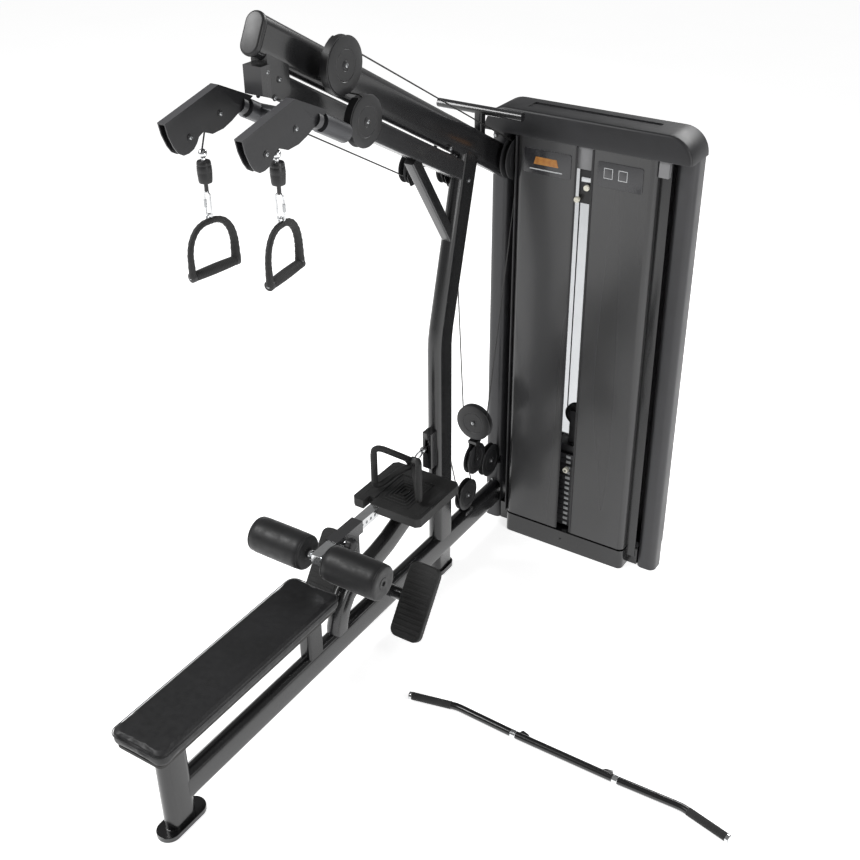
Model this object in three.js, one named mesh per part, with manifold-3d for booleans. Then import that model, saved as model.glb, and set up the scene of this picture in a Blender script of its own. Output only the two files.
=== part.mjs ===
// Cable pulldown and low row machine.
// Millimetres, +Z up. +X points from the user's line to the weight tower, +Y from the seat to the tower.
// The origin is on the floor under the centre of the main post.

import * as THREE from 'three';
import { mergeVertices } from 'three/addons/utils/BufferGeometryUtils.js';
import Module from 'manifold-3d';

// ---- driving dimensions ----

const GAP = 0.3;                     // clearance between pieces that touch
const TUBE = { width: 58, depth: 115 };
const RAIL_Z = 135.5;
const LEG_Y = -1577;
const FOOT = { width: 84, length: 197, height: 18 };
const SEAT = { top: 461, pad: 53, board: 12, width: 230, board_width: 190, start: -1713, end: -804 };
const SEAT_UPRIGHT_Y = -862;

const SLOPE = THREE.MathUtils.degToRad(28.7);   // fall of the boom, the beam and the swivel axes
const BOOM = { front: -900, z_at_post: 1864 };
const BEAM = { width: 50, depth: 68, front: -826, z_at_post: 1750 };
const POST = { bend_z: 1035, lean_start_z: 1115, lean_start_y: 12, top_y: 182, top_z: 1745 };

const COLUMN = { left: -50, width: 80, front: 442, depth: 86, height: 1751 };
const TOWER = { centre_x: 355.5 };
const SHROUD = { left: 90, right: 640, front: 384, back: 542, sheet: 5, bottom: 96, top: 1751 };
const SLOT = { left: 332, right: 400 };
const REAR_SLOT = { half_width: 96, bottom: 470, top: 1650 };
const COVER = { half_width: 406, bottom: 1751.3, height: 94, radius: 82, edge: 10 };
const STACK = { x: 356, y: 476, width: 280, depth: 104, bottom: 96, pitch: 25.3, plates: 14, picked: 3 };
const ROD = { spacing: 220, radius: 10 };

const PULLEY = { rim: 77, groove: 50, width: 28 };
const SMALL_PULLEY = { rim: 54, groove: 40, width: 26 };
const ARM_PULLEY = { rim: 40, groove: 34, width: 18 };
const CABLE = { radius: 2.5 };

const ARM = { x: 131.5, axis_y: -763, axis_z: 2092.5, bearing_radius: 29, bearing_length: 124 };
const ARM_WIDTH = 28;
const REAR_WHEEL = { y: -939, z: 2139 };
const FRONT_WHEEL = { y: -1066, z: 2106 };
const HANG_Y = -1009;
const STOP_Z = 2066;                 // centre of the ball above each rubber stop
const HANDLE_SHIFT = { left: -22, right: 22 };
const HANDLE = { width: 176, strap: 12, depth: 24, arch_top: -192.5, grip_z: -344, grip_radius: 16 };

const WHEELS = {
  boom_upper: { x: 92, y: -652, z: 2235, size: { ...PULLEY, rim: 82 } },
  boom_lower: { x: 131.5, y: -613, z: 2072, size: PULLEY },
  tower: { x: 64, y: 408, z: 1654, size: PULLEY },
  guide: { x: -128, y: 9, z: 1701, size: { ...SMALL_PULLEY, groove: 32 } },
  rear_guide: { x: -58, y: 142, z: 1672, size: SMALL_PULLEY },
  row: { x: 0, y: 6, z: 604, size: { rim: 50, groove: 38, width: 22 } },
  low: { x: 12, y: 180, z: 272, size: { rim: 68, groove: 50, width: 26 } },
  column: { x: 12, y: 366, z: 340, size: { rim: 72, groove: 50, width: 26 } },
};
const FLOAT = {
  x: 12, y: 245, upper_z: 588, lower_z: 415,
  upper: PULLEY,
  lower: { rim: 68, groove: 48, width: 26 },
};

const ROLLER = { y: -787, z: 561, radius: 66, inner: 44, length: 230 };
const SLIDE_TUBE = { size: 38, rear: -450 };
const SLEEVE = { size: 48, front: -713, rear: -557 };
const PIN_OFFSET = -36;
const TRAY = { front: -386, rear: -92, half_width: 150, top: 529, thick: 38 };
const FOOTPLATE = { inner: 138, width: 130, length: 288, thick: 26, y: -491, z: 246 };
const ROW_HANDLE = { apex_y: -188, apex_z: 622, grip_x: 100, grip_y: -305, grip_z: 632, half_grip: 84 };
const LAT_BAR = {
  y: -676, z: 15.5, start: 315, radius: 14.8,
  bends: [[0, -34], [178, 8], [413, 0], [801, 0], [1036, 8], [1214, -34]],
};

// ---- materials ----

function material(color, roughness, metalness) {
  return new THREE.MeshStandardMaterial({ color, roughness, metalness });
}
const frameBlack = () => material(0x1b1b1c, 0.32, 0.4);
const satinBlack = () => material(0x2c2c2d, 0.5, 0.3);
const rubberBlack = () => material(0x161616, 0.85, 0);
const nylonBlack = () => material(0x1d1d1e, 0.45, 0);
const vinylBlack = () => material(0x232324, 0.6, 0);
const chrome = () => material(0xd8d8da, 0.12, 1);
const smoked = () => material(0x333335, 0.25, 0);

// ---- booleans ----

const wasm = await Module();
wasm.setup();

function toSolid(geometry) {
  const bare = geometry.clone();
  bare.deleteAttribute('normal');
  bare.deleteAttribute('uv');
  const merged = mergeVertices(bare, 1e-4);
  return new wasm.Manifold(new wasm.Mesh({
    numProp: 3,
    vertProperties: new Float32Array(merged.attributes.position.array),
    triVerts: new Uint32Array(merged.index.array),
  }));
}

function toGeometry(solid) {
  const mesh = solid.getMesh();
  const geometry = new THREE.BufferGeometry();
  geometry.setAttribute('position', new THREE.BufferAttribute(mesh.vertProperties, 3));
  geometry.setIndex(new THREE.BufferAttribute(mesh.triVerts, 1));
  geometry.computeVertexNormals();
  return geometry;
}

function join(...geometries) {
  return toGeometry(geometries.map(toSolid).reduce((sum, next) => sum.add(next)));
}

function cut(geometry, ...tools) {
  return toGeometry(tools.map(toSolid).reduce((rest, tool) => rest.subtract(tool), toSolid(geometry)));
}

// ---- sections and basic bodies ----

function rounded(width, height, radius) {
  const x = width / 2;
  const y = height / 2;
  const shape = new THREE.Shape();
  shape.moveTo(-x + radius, -y);
  shape.lineTo(x - radius, -y);
  shape.absarc(x - radius, -y + radius, radius, -Math.PI / 2, 0);
  shape.lineTo(x, y - radius);
  shape.absarc(x - radius, y - radius, radius, 0, Math.PI / 2);
  shape.lineTo(-x + radius, y);
  shape.absarc(-x + radius, y - radius, radius, Math.PI / 2, Math.PI);
  shape.lineTo(-x, -y + radius);
  shape.absarc(-x + radius, -y + radius, radius, Math.PI, 1.5 * Math.PI);
  return shape;
}

function obround(width, depth) {
  const radius = width / 2;
  const straight = depth / 2 - radius;
  const shape = new THREE.Shape();
  shape.absarc(0, straight, radius, 0, Math.PI);
  shape.absarc(0, -straight, radius, Math.PI, 2 * Math.PI);
  return shape;
}

function outline(points) {
  return new THREE.Shape(points.map(([x, y]) => new THREE.Vector2(x, y)));
}

// Prism with its section in XY, from z = bottom to z = top.
function upright(shape, bottom, top, segments = 5) {
  const geometry = new THREE.ExtrudeGeometry(shape, {
    depth: top - bottom, bevelEnabled: false, curveSegments: segments,
  });
  return geometry.translate(0, 0, bottom);
}

// Prism with its section in YZ, centred on x.
function sideways(shape, x, width, segments = 5) {
  const geometry = new THREE.ExtrudeGeometry(shape, {
    depth: width, bevelEnabled: false, curveSegments: segments,
  });
  geometry.rotateX(Math.PI / 2);
  geometry.rotateZ(Math.PI / 2);
  return geometry.translate(x - width / 2, 0, 0);
}

function block(width, depth, height, x, y, z) {
  return new THREE.BoxGeometry(width, depth, height).translate(x, y, z);
}

// A path through chosen stations, so that straight runs need only their two ends.
class Route extends THREE.Curve {
  constructor(stations) {
    super();
    this.stations = stations;
  }

  getPointAt(u, target = new THREE.Vector3()) {
    const last = this.stations.length - 1;
    const place = Math.min(u, 1) * last;
    const index = Math.min(Math.floor(place + 1e-9), last - 1);
    return target.lerpVectors(this.stations[index], this.stations[index + 1], place - index);
  }

  getTangentAt(u, target = new THREE.Vector3()) {
    const last = this.stations.length - 1;
    const index = Math.round(u * last);
    const after = this.stations[Math.min(index + 1, last)];
    const before = this.stations[Math.max(index - 1, 0)];
    const here = this.stations[index];
    if (index > 0 && index < last) {
      const incoming = here.clone().sub(before).normalize();
      const outgoing = after.clone().sub(here).normalize();
      return target.copy(incoming.add(outgoing)).normalize();
    }
    return target.subVectors(after, before).normalize();
  }

  // Keeps the section's first axis level with world X wherever the path allows it.
  computeFrenetFrames(segments) {
    const tangents = this.stations.map((_, index) => this.getTangentAt(index / segments));
    const normal = Math.abs(tangents[0].x) > 0.9 ? new THREE.Vector3(0, 0, 1) : new THREE.Vector3(1, 0, 0);
    const normals = tangents.map((tangent) => {
      normal.addScaledVector(tangent, -normal.dot(tangent)).normalize();
      return normal.clone();
    });
    const binormals = tangents.map((tangent, index) => tangent.clone().cross(normals[index]));
    return { tangents, normals, binormals };
  }
}

function sweep(shape, stations, segments = 5) {
  return new THREE.ExtrudeGeometry(shape, {
    steps: stations.length - 1,
    extrudePath: new Route(stations),
    curveSegments: segments,
    bevelEnabled: false,
  });
}

function vec(x, y, z) {
  return new THREE.Vector3(x, y, z);
}

function circle(radius) {
  const shape = new THREE.Shape();
  shape.absarc(0, 0, radius, 0, 2 * Math.PI);
  return shape;
}

// Cylinder along X, Y or Z, centred on a point.
function rod(axis, radius, length, x, y, z, sides = 20) {
  const geometry = new THREE.CylinderGeometry(radius, radius, length, sides);
  if (axis === 'x') geometry.rotateZ(Math.PI / 2);
  if (axis === 'z') geometry.rotateX(Math.PI / 2);
  return geometry.translate(x, y, z);
}

// Stations of an arc in the YZ plane.
function bend(x, y, z, radius, from, to, steps) {
  const stations = [];
  for (let step = 0; step <= steps; step += 1) {
    const angle = from + ((to - from) * step) / steps;
    stations.push(vec(x, y + radius * Math.cos(angle), z + radius * Math.sin(angle)));
  }
  return stations;
}

// Height of a sloped line at a given y.
function along(z_at_post, y) {
  return z_at_post - Math.tan(SLOPE) * y;
}

function sloped(shape, x, z_at_post, from, to) {
  return sweep(shape, [vec(x, from, along(z_at_post, from)), vec(x, to, along(z_at_post, to))]);
}

// ---- frame ----

function railBody(extra) {
  const section = obround(TUBE.width + 2 * extra, TUBE.depth + 2 * extra);
  return sweep(section, [vec(0, LEG_Y, RAIL_Z), vec(0, COLUMN.front - GAP, RAIL_Z)]);
}

function legBody(extra) {
  return upright(obround(TUBE.width + 2 * extra, TUBE.depth + 2 * extra), 4,
    SEAT.top - SEAT.pad - SEAT.board - GAP).translate(0, LEG_Y, 0);
}

function frontLeg() {
  const flange = upright(obround(FOOT.width, FOOT.length), 0, FOOT.height, 7).translate(0, LEG_Y + 5, 0);
  return join(legBody(0), flange);
}

function baseRail() {
  const seatUpright = upright(rounded(50, 80, 10), RAIL_Z, SEAT.top - SEAT.pad - SEAT.board - GAP, 2)
    .translate(0, SEAT_UPRIGHT_Y, 0);
  const footTube = rod('x', 24, 2 * (FOOTPLATE.inner + 74), 0, footTubeCentre.y, footTubeCentre.z, 16);
  const saddle = block(44, 40, 40, 0, footTubeCentre.y, footTubeCentre.z - 22);
  return cut(join(railBody(0), seatUpright, footTube, saddle, postStub(), ...lowBracket()), legBody(GAP));
}

function postStub() {
  return join(
    upright(obround(TUBE.width - 4, TUBE.depth - 4), 4, RAIL_Z),
    upright(obround(TUBE.width + 12, TUBE.depth + 13), 0, 20, 7),
  );
}

const postStations = [
  vec(0, 0, RAIL_Z),
  vec(0, 0, POST.bend_z),
  vec(0, 4, POST.bend_z + 40),
  vec(0, POST.lean_start_y, POST.lean_start_z),
  vec(0, POST.top_y, POST.top_z),
  vec(0, POST.top_y + 32, POST.top_z + 120),
];

function postBody(extra) {
  return sweep(obround(TUBE.width + 2 * extra, TUBE.depth + 5 + 2 * extra), postStations);
}

function boomBody(extra) {
  const section = obround(TUBE.width + 2 * extra, TUBE.depth + 2 * extra);
  return sloped(section, 0, BOOM.z_at_post, BOOM.front, COLUMN.front + 120);
}

function topBoom() {
  const beyond = block(300, 400, 900, 0, COLUMN.front - GAP + 200, along(BOOM.z_at_post, COLUMN.front));
  return join(cut(boomBody(0), beyond), ...storageBar());
}

function mainPost() {
  const slot = block(28, 200, 124, 0, 0, WHEELS.row.z);
  const above = block(200, 600, 400, 0, POST.top_y, along(BOOM.z_at_post, POST.top_y) + 200);
  return cut(postBody(0), railBody(GAP), boomBody(GAP), above, slot);
}

function boomCap() {
  const geometry = new THREE.ExtrudeGeometry(obround(TUBE.width - 8, TUBE.depth - 8), {
    depth: 6, bevelEnabled: true, bevelThickness: 7, bevelSize: 7, bevelSegments: 3, curveSegments: 6,
  });
  geometry.rotateX(Math.PI / 2 - SLOPE);
  const back = 7 + GAP;
  return geometry.translate(0, BOOM.front - back * Math.cos(SLOPE),
    along(BOOM.z_at_post, BOOM.front) + back * Math.sin(SLOPE));
}

function beamBody(extra) {
  const section = rounded(BEAM.width + 2 * extra, BEAM.depth + 2 * extra, 8);
  return sloped(section, 0, BEAM.z_at_post, BEAM.front, POST.top_y);
}

function pulleyBeam() {
  const brace = sweep(rounded(38, 44, 6), [vec(0, -172, 1806), vec(0, 70, 1440)], 2);
  const past = block(200, 300, 900, 0, 150 + POST.top_y, 1700);
  return cut(join(beamBody(0), brace), postBody(GAP), past);
}

// Two cheeks and a front plate that hang the beam's front end from the boom.
function beamHanger() {
  const under = (y) => along(BOOM.z_at_post, y) - 44;
  const cheek = outline([
    [-896, under(-896)], [-806, under(-806)], [-806, 2180], [-838, 2174], [-896, 2194],
  ]);
  const nose = outline([[-928, 2282], [-890, 2282], [-890, 2190], [-928, 2205]]);
  return cut(join(sideways(cheek, 0, 56), sideways(nose, 0, 62)), boomBody(GAP), beamBody(GAP));
}

function swivelAxis(x, y) {
  return vec(x, y, ARM.axis_z - Math.tan(SLOPE) * (y - ARM.axis_y));
}

function armBearing(side) {
  const half = (ARM.bearing_length / 2) * Math.cos(SLOPE);
  const stations = [swivelAxis(side * ARM.x, ARM.axis_y - half), swivelAxis(side * ARM.x, ARM.axis_y + half)];
  return sweep(circle(ARM.bearing_radius), stations, 10);
}

function bearingBore(side) {
  const stations = [swivelAxis(side * ARM.x, ARM.axis_y - 120), swivelAxis(side * ARM.x, ARM.axis_y + 120)];
  return sweep(circle(15.3), stations, 8);
}

function swivelYoke() {
  const cross = rod('x', 23, 2 * ARM.x, 0, ARM.axis_y, ARM.axis_z + 6, 16);
  const saddle = sideways(outline([
    [-800, along(BEAM.z_at_post, -800) - 10], [-690, along(BEAM.z_at_post, -690) - 10],
    [-716, ARM.axis_z - 8], [-776, ARM.axis_z + 2],
  ]), 0, 44);
  const whole = cut(join(cross, saddle, armBearing(-1), armBearing(1)), bearingBore(-1), bearingBore(1));
  return cut(whole, beamBody(GAP));
}

// ---- seat, support, tray and footplates ----

function seatPad() {
  const centre = (SEAT.start + SEAT.end) / 2;
  const length = SEAT.end - SEAT.start;
  const geometry = new THREE.ExtrudeGeometry(rounded(SEAT.width - 16, length - 16, 26), {
    depth: SEAT.pad - 16, bevelEnabled: true, bevelThickness: 8, bevelSize: 8, bevelSegments: 2, curveSegments: 4,
  });
  return geometry.translate(0, centre, SEAT.top - SEAT.pad + 8);
}

function seatBoard() {
  const centre = (SEAT.start + SEAT.end) / 2;
  const length = SEAT.end - SEAT.start - 30;
  const top = SEAT.top - SEAT.pad - GAP;
  return upright(rounded(SEAT.board_width, length, 20), top - SEAT.board + GAP, top, 3).translate(0, centre, 0);
}

const supportStations = [
  vec(0, -30, 440),
  vec(0, -150, 441),
  vec(0, -225, 428),
  vec(0, -300, 402),
  vec(0, -380, 374),
  vec(0, -460, 357),
  vec(0, -540, 347),
  vec(0, -600, 334),
  vec(0, -650, 306),
  vec(0, -685, 262),
  vec(0, -706, 205),
  vec(0, -712, RAIL_Z),
];

function curvedSupport() {
  const beam = sweep(obround(TUBE.width - 2, 96), supportStations);
  const size = SLEEVE.size;
  const middle = (SLEEVE.front + SLEEVE.rear) / 2;
  const length = SLEEVE.rear - SLEEVE.front;
  const riser = block(30, 90, ROLLER.z - size / 2 - 340, 0, middle + 20, (ROLLER.z - size / 2 + 342) / 2);
  const sleeve = block(size, length, size, 0, middle, ROLLER.z);
  const bore = block(SLIDE_TUBE.size + 1, length + 40, SLIDE_TUBE.size + 1, 0, middle, ROLLER.z);
  const pinHole = rod('x', 5.3, 30, size / 2, middle + PIN_OFFSET, ROLLER.z, 10);
  return cut(join(beam, riser, sleeve), bore, pinHole, railBody(GAP), postBody(GAP));
}

function handleTray() {
  const { front, rear, half_width, top, thick } = TRAY;
  const plan = outline([
    [-half_width + 12, front], [-half_width + 52, front], [-half_width + 52, front + 44],
    [-half_width + 84, front + 44], [-half_width + 84, front], [half_width - 14, front],
    [half_width, front + 14], [half_width, rear - 14], [half_width - 14, rear],
    [-half_width + 14, rear], [-half_width, rear - 14], [-half_width, front + 12],
  ]);
  const slab = upright(plan, top - thick, top);
  const recess = block(150, 190, 20, 0, (front + rear) / 2 - 10, top + 4);
  return cut(slab, recess, supportClearance());
}

function supportClearance() {
  return sweep(obround(TUBE.width, 98), supportStations);
}

const plateLean = Math.atan2(240, 167);
const footTubeCentre = {
  y: FOOTPLATE.y + Math.sin(plateLean) * (FOOTPLATE.thick / 2 + 24.5),
  z: FOOTPLATE.z - Math.cos(plateLean) * (FOOTPLATE.thick / 2 + 24.5),
};

function footplate(side) {
  const { inner, width, length, thick, y, z } = FOOTPLATE;
  const geometry = new THREE.ExtrudeGeometry(rounded(width - 6, length - 6, 28), {
    depth: thick - 6, bevelEnabled: true, bevelThickness: 3, bevelSize: 3, bevelSegments: 1, curveSegments: 4,
  });
  geometry.translate(0, 0, 3 - thick / 2);
  geometry.rotateX(plateLean);
  return geometry.translate(side * (inner + width / 2), y, z);
}

// ---- rollers and their carriage ----

function rollerCarriage() {
  const { y, z, inner, length } = ROLLER;
  const half = SLIDE_TUBE.size / 2;
  const tube = block(SLIDE_TUBE.size, SLIDE_TUBE.rear - y + half, SLIDE_TUBE.size,
    0, (SLIDE_TUBE.rear + y - half) / 2, z);
  const holes = [];
  for (let index = 0; index < 6; index += 1) {
    holes.push(rod('x', 6, 16, half, SLIDE_TUBE.rear - 24 - index * 26, z, 8));
  }
  const axle = rod('x', 9, 2 * (inner + length - 12), 0, y, z, 12);
  return cut(join(tube, axle), ...holes);
}

function roller(side) {
  const { y, z, radius, inner, length } = ROLLER;
  const profile = [[9.3, 6], [40, 0], [radius - 10, 0], [radius - 3, 3], [radius, 10],
    [radius, length - 10], [radius - 3, length - 3], [radius - 10, length], [9.3, length]];
  const points = [...profile, profile[0]].map(([r, t]) => new THREE.Vector2(r, t));
  const geometry = new THREE.LatheGeometry(points, 24);
  geometry.rotateZ(-Math.PI / 2);
  if (side < 0) geometry.rotateZ(Math.PI);
  return geometry.translate(side * inner, y, z);
}

function popPin() {
  const middle = (SLEEVE.front + SLEEVE.rear) / 2;
  const profile = [[0, 0], [4.6, 0], [4.6, 8], [5, 8], [5, 14], [13, 14], [13, 24], [24, 26], [27, 32],
    [27, 44], [22, 50], [0, 50]];
  const geometry = new THREE.LatheGeometry(profile.map(([r, t]) => new THREE.Vector2(r, t)), 16);
  geometry.rotateZ(-Math.PI / 2);
  return geometry.translate(SLEEVE.size / 2 - 4, middle + PIN_OFFSET, ROLLER.z);
}

// ---- weight tower ----

function column(side) {
  const x = TOWER.centre_x + side * (TOWER.centre_x - COLUMN.left - COLUMN.width / 2);
  const shape = rounded(COLUMN.width, COLUMN.depth, 26);
  const body = upright(shape, 0, COLUMN.height, 4).translate(x, COLUMN.front + COLUMN.depth / 2, 0);
  if (side > 0) return body;
  return cut(body, block(24, 60, 40, WHEELS.column.x, COLUMN.front, cableExitZ));
}

const cableExitZ = WHEELS.column.z - 40;

function towerBase() {
  const innerLeft = COLUMN.left + COLUMN.width + GAP;
  const span = 2 * (TOWER.centre_x - innerLeft);
  const cross = block(span, 70, 84, TOWER.centre_x, COLUMN.front + COLUMN.depth / 2, 44);
  const width = SHROUD.right - SHROUD.left;
  const depth = SHROUD.back - SHROUD.front;
  const box = upright(rounded(width, depth, 22), 0, 88, 3)
    .translate((SHROUD.left + SHROUD.right) / 2, (SHROUD.front + SHROUD.back) / 2, 0);
  const buffers = [];
  const rods = [];
  for (const side of [-1, 1]) {
    const x = STACK.x + (side * ROD.spacing) / 2;
    buffers.push(rod('z', 24, 40, x, STACK.y, STACK.bottom - GAP - 20, 16));
    rods.push(rod('z', ROD.radius + GAP, 60, x, STACK.y, STACK.bottom - 2));
  }
  return cut(join(cross, box, ...buffers), ...rods);
}

// Rounded at its two upper ends as seen from the front.
function topCover() {
  const { half_width, bottom, height, radius, edge } = COVER;
  const x = half_width - edge;
  const z = height - edge;
  const shape = new THREE.Shape();
  shape.moveTo(-x, 0);
  shape.lineTo(x, 0);
  shape.lineTo(x, z - radius);
  shape.absarc(x - radius, z - radius, radius, 0, Math.PI / 2);
  shape.lineTo(-x + radius, z);
  shape.absarc(-x + radius, z - radius, radius, Math.PI / 2, Math.PI);
  const geometry = new THREE.ExtrudeGeometry(shape, {
    depth: SHROUD.back - SHROUD.front - 2 * edge, bevelEnabled: true, bevelThickness: edge, bevelSize: edge,
    bevelSegments: 3, curveSegments: 6,
  });
  geometry.rotateX(Math.PI / 2);
  geometry.translate(TOWER.centre_x, SHROUD.back - edge, bottom);
  const below = block(1200, 600, 100, TOWER.centre_x, 500, bottom - 50);
  const dish = block(500, 62, 20, TOWER.centre_x, (SHROUD.front + SHROUD.back) / 2, bottom + height + 5);
  return cut(geometry, below, dish);
}

function shroudFront(side) {
  const mid = (SHROUD.left + SHROUD.right) / 2;
  const outer = (SHROUD.right - SHROUD.left) / 2;
  const inner = side < 0 ? mid - SLOT.left : SLOT.right - mid;
  const { front, sheet } = SHROUD;
  const back = SHROUD.back - sheet - GAP;
  const radius = 26;
  const shape = new THREE.Shape();
  shape.moveTo(inner, front);
  shape.lineTo(outer - radius, front);
  shape.absarc(outer - radius, front + radius, radius, -Math.PI / 2, 0);
  shape.lineTo(outer, back);
  shape.lineTo(outer - sheet, back);
  shape.lineTo(outer - sheet, front + radius);
  shape.absarc(outer - radius, front + radius, radius - sheet, 0, -Math.PI / 2, true);
  shape.lineTo(inner, front + sheet);
  const geometry = upright(shape, SHROUD.bottom, SHROUD.top, 4);
  if (side > 0) return geometry.translate(mid, 0, 0);
  return mirrorX(geometry).translate(mid, 0, 0);
}

function mirrorX(geometry) {
  const mirrored = geometry.index ? geometry.toNonIndexed() : geometry.clone();
  mirrored.scale(-1, 1, 1);
  const { array } = mirrored.attributes.position;
  for (let start = 0; start < array.length; start += 9) {
    for (let axis = 0; axis < 3; axis += 1) {
      const kept = array[start + 3 + axis];
      array[start + 3 + axis] = array[start + 6 + axis];
      array[start + 6 + axis] = kept;
    }
  }
  mirrored.computeVertexNormals();
  return mirrored;
}

function shroudRear() {
  const width = 2 * (TOWER.centre_x - COLUMN.left) - 20;
  const height = SHROUD.top - SHROUD.bottom;
  const y = SHROUD.back - SHROUD.sheet / 2;
  const panel = block(width, SHROUD.sheet, height, TOWER.centre_x, y, SHROUD.bottom + height / 2);
  const { half_width, bottom, top } = REAR_SLOT;
  return cut(panel, block(2 * half_width, 40, top - bottom, STACK.x, y, (top + bottom) / 2));
}

function guideRod(side) {
  const bottom = STACK.bottom - 30;
  const top = SHROUD.top - 6;
  return rod('z', ROD.radius, top - bottom, STACK.x + (side * ROD.spacing) / 2, STACK.y, (top + bottom) / 2, 12);
}

function plateStack(first, count) {
  const bottom = STACK.bottom + first * STACK.pitch;
  const top = bottom + count * STACK.pitch - GAP;
  const shape = rounded(STACK.width, STACK.depth, 6);
  const holes = [-1, 1].map((side) => {
    const hole = new THREE.Path();
    hole.absarc((side * ROD.spacing) / 2, 0, ROD.radius + 2, 0, 2 * Math.PI, true);
    return hole;
  });
  shape.holes.push(...holes);
  return upright(shape, bottom, top, 4).translate(STACK.x, STACK.y, 0);
}

function grooves(first, count) {
  const cuts = [];
  for (let index = first + 1; index < first + count; index += 1) {
    const z = STACK.bottom + index * STACK.pitch;
    cuts.push(block(STACK.width + 4, 6, 2, STACK.x, STACK.y - STACK.depth / 2, z));
  }
  return cuts;
}

function restingPlates() {
  const count = STACK.plates - STACK.picked;
  return cut(plateStack(0, count), ...grooves(0, count));
}

const stackTop = STACK.bottom + STACK.plates * STACK.pitch;
const stackWheel = { z: stackTop + 165, rim: 50, groove: 40, width: 18 };

function liftedPlates() {
  const first = STACK.plates - STACK.picked;
  const pinZ = STACK.bottom + (first + 0.5) * STACK.pitch;
  const pinHole = rod('y', 6, 90, STACK.x, STACK.y - STACK.depth / 2 + 30, pinZ, 10);
  const plates = cut(plateStack(first, STACK.picked), pinHole, ...grooves(first, STACK.picked));
  const head = upright(rounded(140, 80, 8), stackTop - 1, stackTop + 34, 3).translate(STACK.x, STACK.y, 0);
  const cheeks = [-1, 1].map((side) => block(46, 6, stackWheel.z - stackTop + 10,
    STACK.x, STACK.y + side * 15, (stackWheel.z + stackTop) / 2 + 15));
  return join(plates, head, ...cheeks);
}

function selectorPin() {
  const pinZ = STACK.bottom + (STACK.plates - STACK.picked + 0.5) * STACK.pitch;
  const front = STACK.y - STACK.depth / 2;
  const profile = [[0, 0], [11, 2], [12, 8], [12, 22], [8, 26], [8, 30], [5, 30], [5, 88], [0, 90]];
  const geometry = new THREE.LatheGeometry(profile.map(([r, t]) => new THREE.Vector2(r, t)), 12);
  return geometry.translate(STACK.x, front - 31, pinZ);
}

function storageBar() {
  const y = 272;
  const z = 1858;
  const bar = rod('x', 16, 346, 0, y, z, 14);
  const stem = upright(rounded(30, 34, 6), along(BOOM.z_at_post, y) + 40, z, 2).translate(0, y, 0);
  return [bar, stem];
}

// ---- pulleys ----

function wheel(axis, place, size, sides = 20) {
  const { rim, groove, width } = size;
  const half = width / 2;
  const profile = [[0, -half], [rim, -half], [rim, -half + 3], [groove, -3.5], [groove, 3.5],
    [rim, half - 3], [rim, half], [0, half]];
  const geometry = new THREE.LatheGeometry(profile.map(([r, t]) => new THREE.Vector2(r, t)), sides);
  if (axis === 'x') geometry.rotateZ(-Math.PI / 2);
  return geometry.translate(place.x, place.y, place.z);
}

function lowBracket() {
  const { x, y, z } = WHEELS.low;
  const plate = outline([[y - 28, 184], [y + 28, 184], [y + 18, z + 14], [y - 18, z + 14]]);
  return [sideways(plate, x - 16, 5), block(37, 56, 16, x, y, 189)];
}

function rowPulleyBox() {
  const body = upright(rounded(40, 60, 4), 548, 704, 1).translate(0, -66, 0);
  const slit = block(14, 60, 60, 0, -96, 646);
  const inside = block(28, 60, 140, 0, -60, 626);
  return cut(body, postBody(GAP), slit, inside);
}

function floatingBlock() {
  const { x, y, upper_z, lower_z } = FLOAT;
  const tall = 104;
  const upperPlate = block(40, 5, tall, x, y + 17.3, upper_z - tall / 2 + 16);
  const lowerPlates = [-1, 1].map((side) => block(4, 34, tall, x + side * 16, y, lower_z + tall / 2 - 16));
  const bridge = block(38, 40, 12, x, y, (upper_z + lower_z) / 2 - 4);
  return join(upperPlate, ...lowerPlates, bridge);
}

// ---- cables ----

function leftOf(direction) {
  return new THREE.Vector2(-direction.y, direction.x);
}

// Straight line that touches two circles; turn is 1 for anticlockwise travel and -1 for clockwise.
function tangent(a, b) {
  const gap = new THREE.Vector2(b.y - a.y, b.z - a.z);
  const offset = (b.turn ?? 0) * (b.r ?? 0) - (a.turn ?? 0) * (a.r ?? 0);
  const reach = Math.sqrt(gap.lengthSq() - offset * offset);
  const angle = Math.atan2(gap.y, gap.x) - Math.atan2(offset, reach);
  return leftOf(new THREE.Vector2(Math.cos(angle), Math.sin(angle)));
}

// Stations of a cable that runs past points and round pulleys which all turn about X.
// Beside each pulley it keeps to the pulley's own plane until it's past the rim.
function reeve(stops, arcStep = 0.4) {
  const stations = [];
  stops.forEach((stop, index) => {
    if (!stop.r) {
      stations.push(vec(stop.x, stop.y, stop.z));
      return;
    }
    const arriving = tangent(stops[index - 1], stop).multiplyScalar(-stop.turn);
    const leaving = tangent(stop, stops[index + 1]).multiplyScalar(-stop.turn);
    const from = Math.atan2(arriving.y, arriving.x);
    let sweepAngle = Math.atan2(leaving.y, leaving.x) - from;
    while (sweepAngle * stop.turn < -1e-6) sweepAngle += stop.turn * 2 * Math.PI;
    const steps = Math.max(1, Math.ceil(Math.abs(sweepAngle) / arcStep));
    const radius = stop.r / Math.cos(sweepAngle / steps / 2);
    const arc = bend(stop.x, stop.y, stop.z, radius, from, from + sweepAngle, steps);
    stations.push(lead(arc[0], arriving, -stop.turn * stop.lead), ...arc,
      lead(arc[arc.length - 1], leaving, stop.turn * stop.lead));
  });
  return stations;
}

function lead(point, outward, distance) {
  return vec(point.x, point.y - outward.y * distance, point.z + outward.x * distance);
}

function cableSolid(stations) {
  const shape = new THREE.Shape();
  for (let side = 0; side < 8; side += 1) {
    const angle = ((side + 0.5) * Math.PI) / 4;
    const point = [CABLE.radius * Math.cos(angle), CABLE.radius * Math.sin(angle)];
    if (side === 0) shape.moveTo(...point);
    else shape.lineTo(...point);
  }
  return sweep(shape, stations, 1);
}

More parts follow.
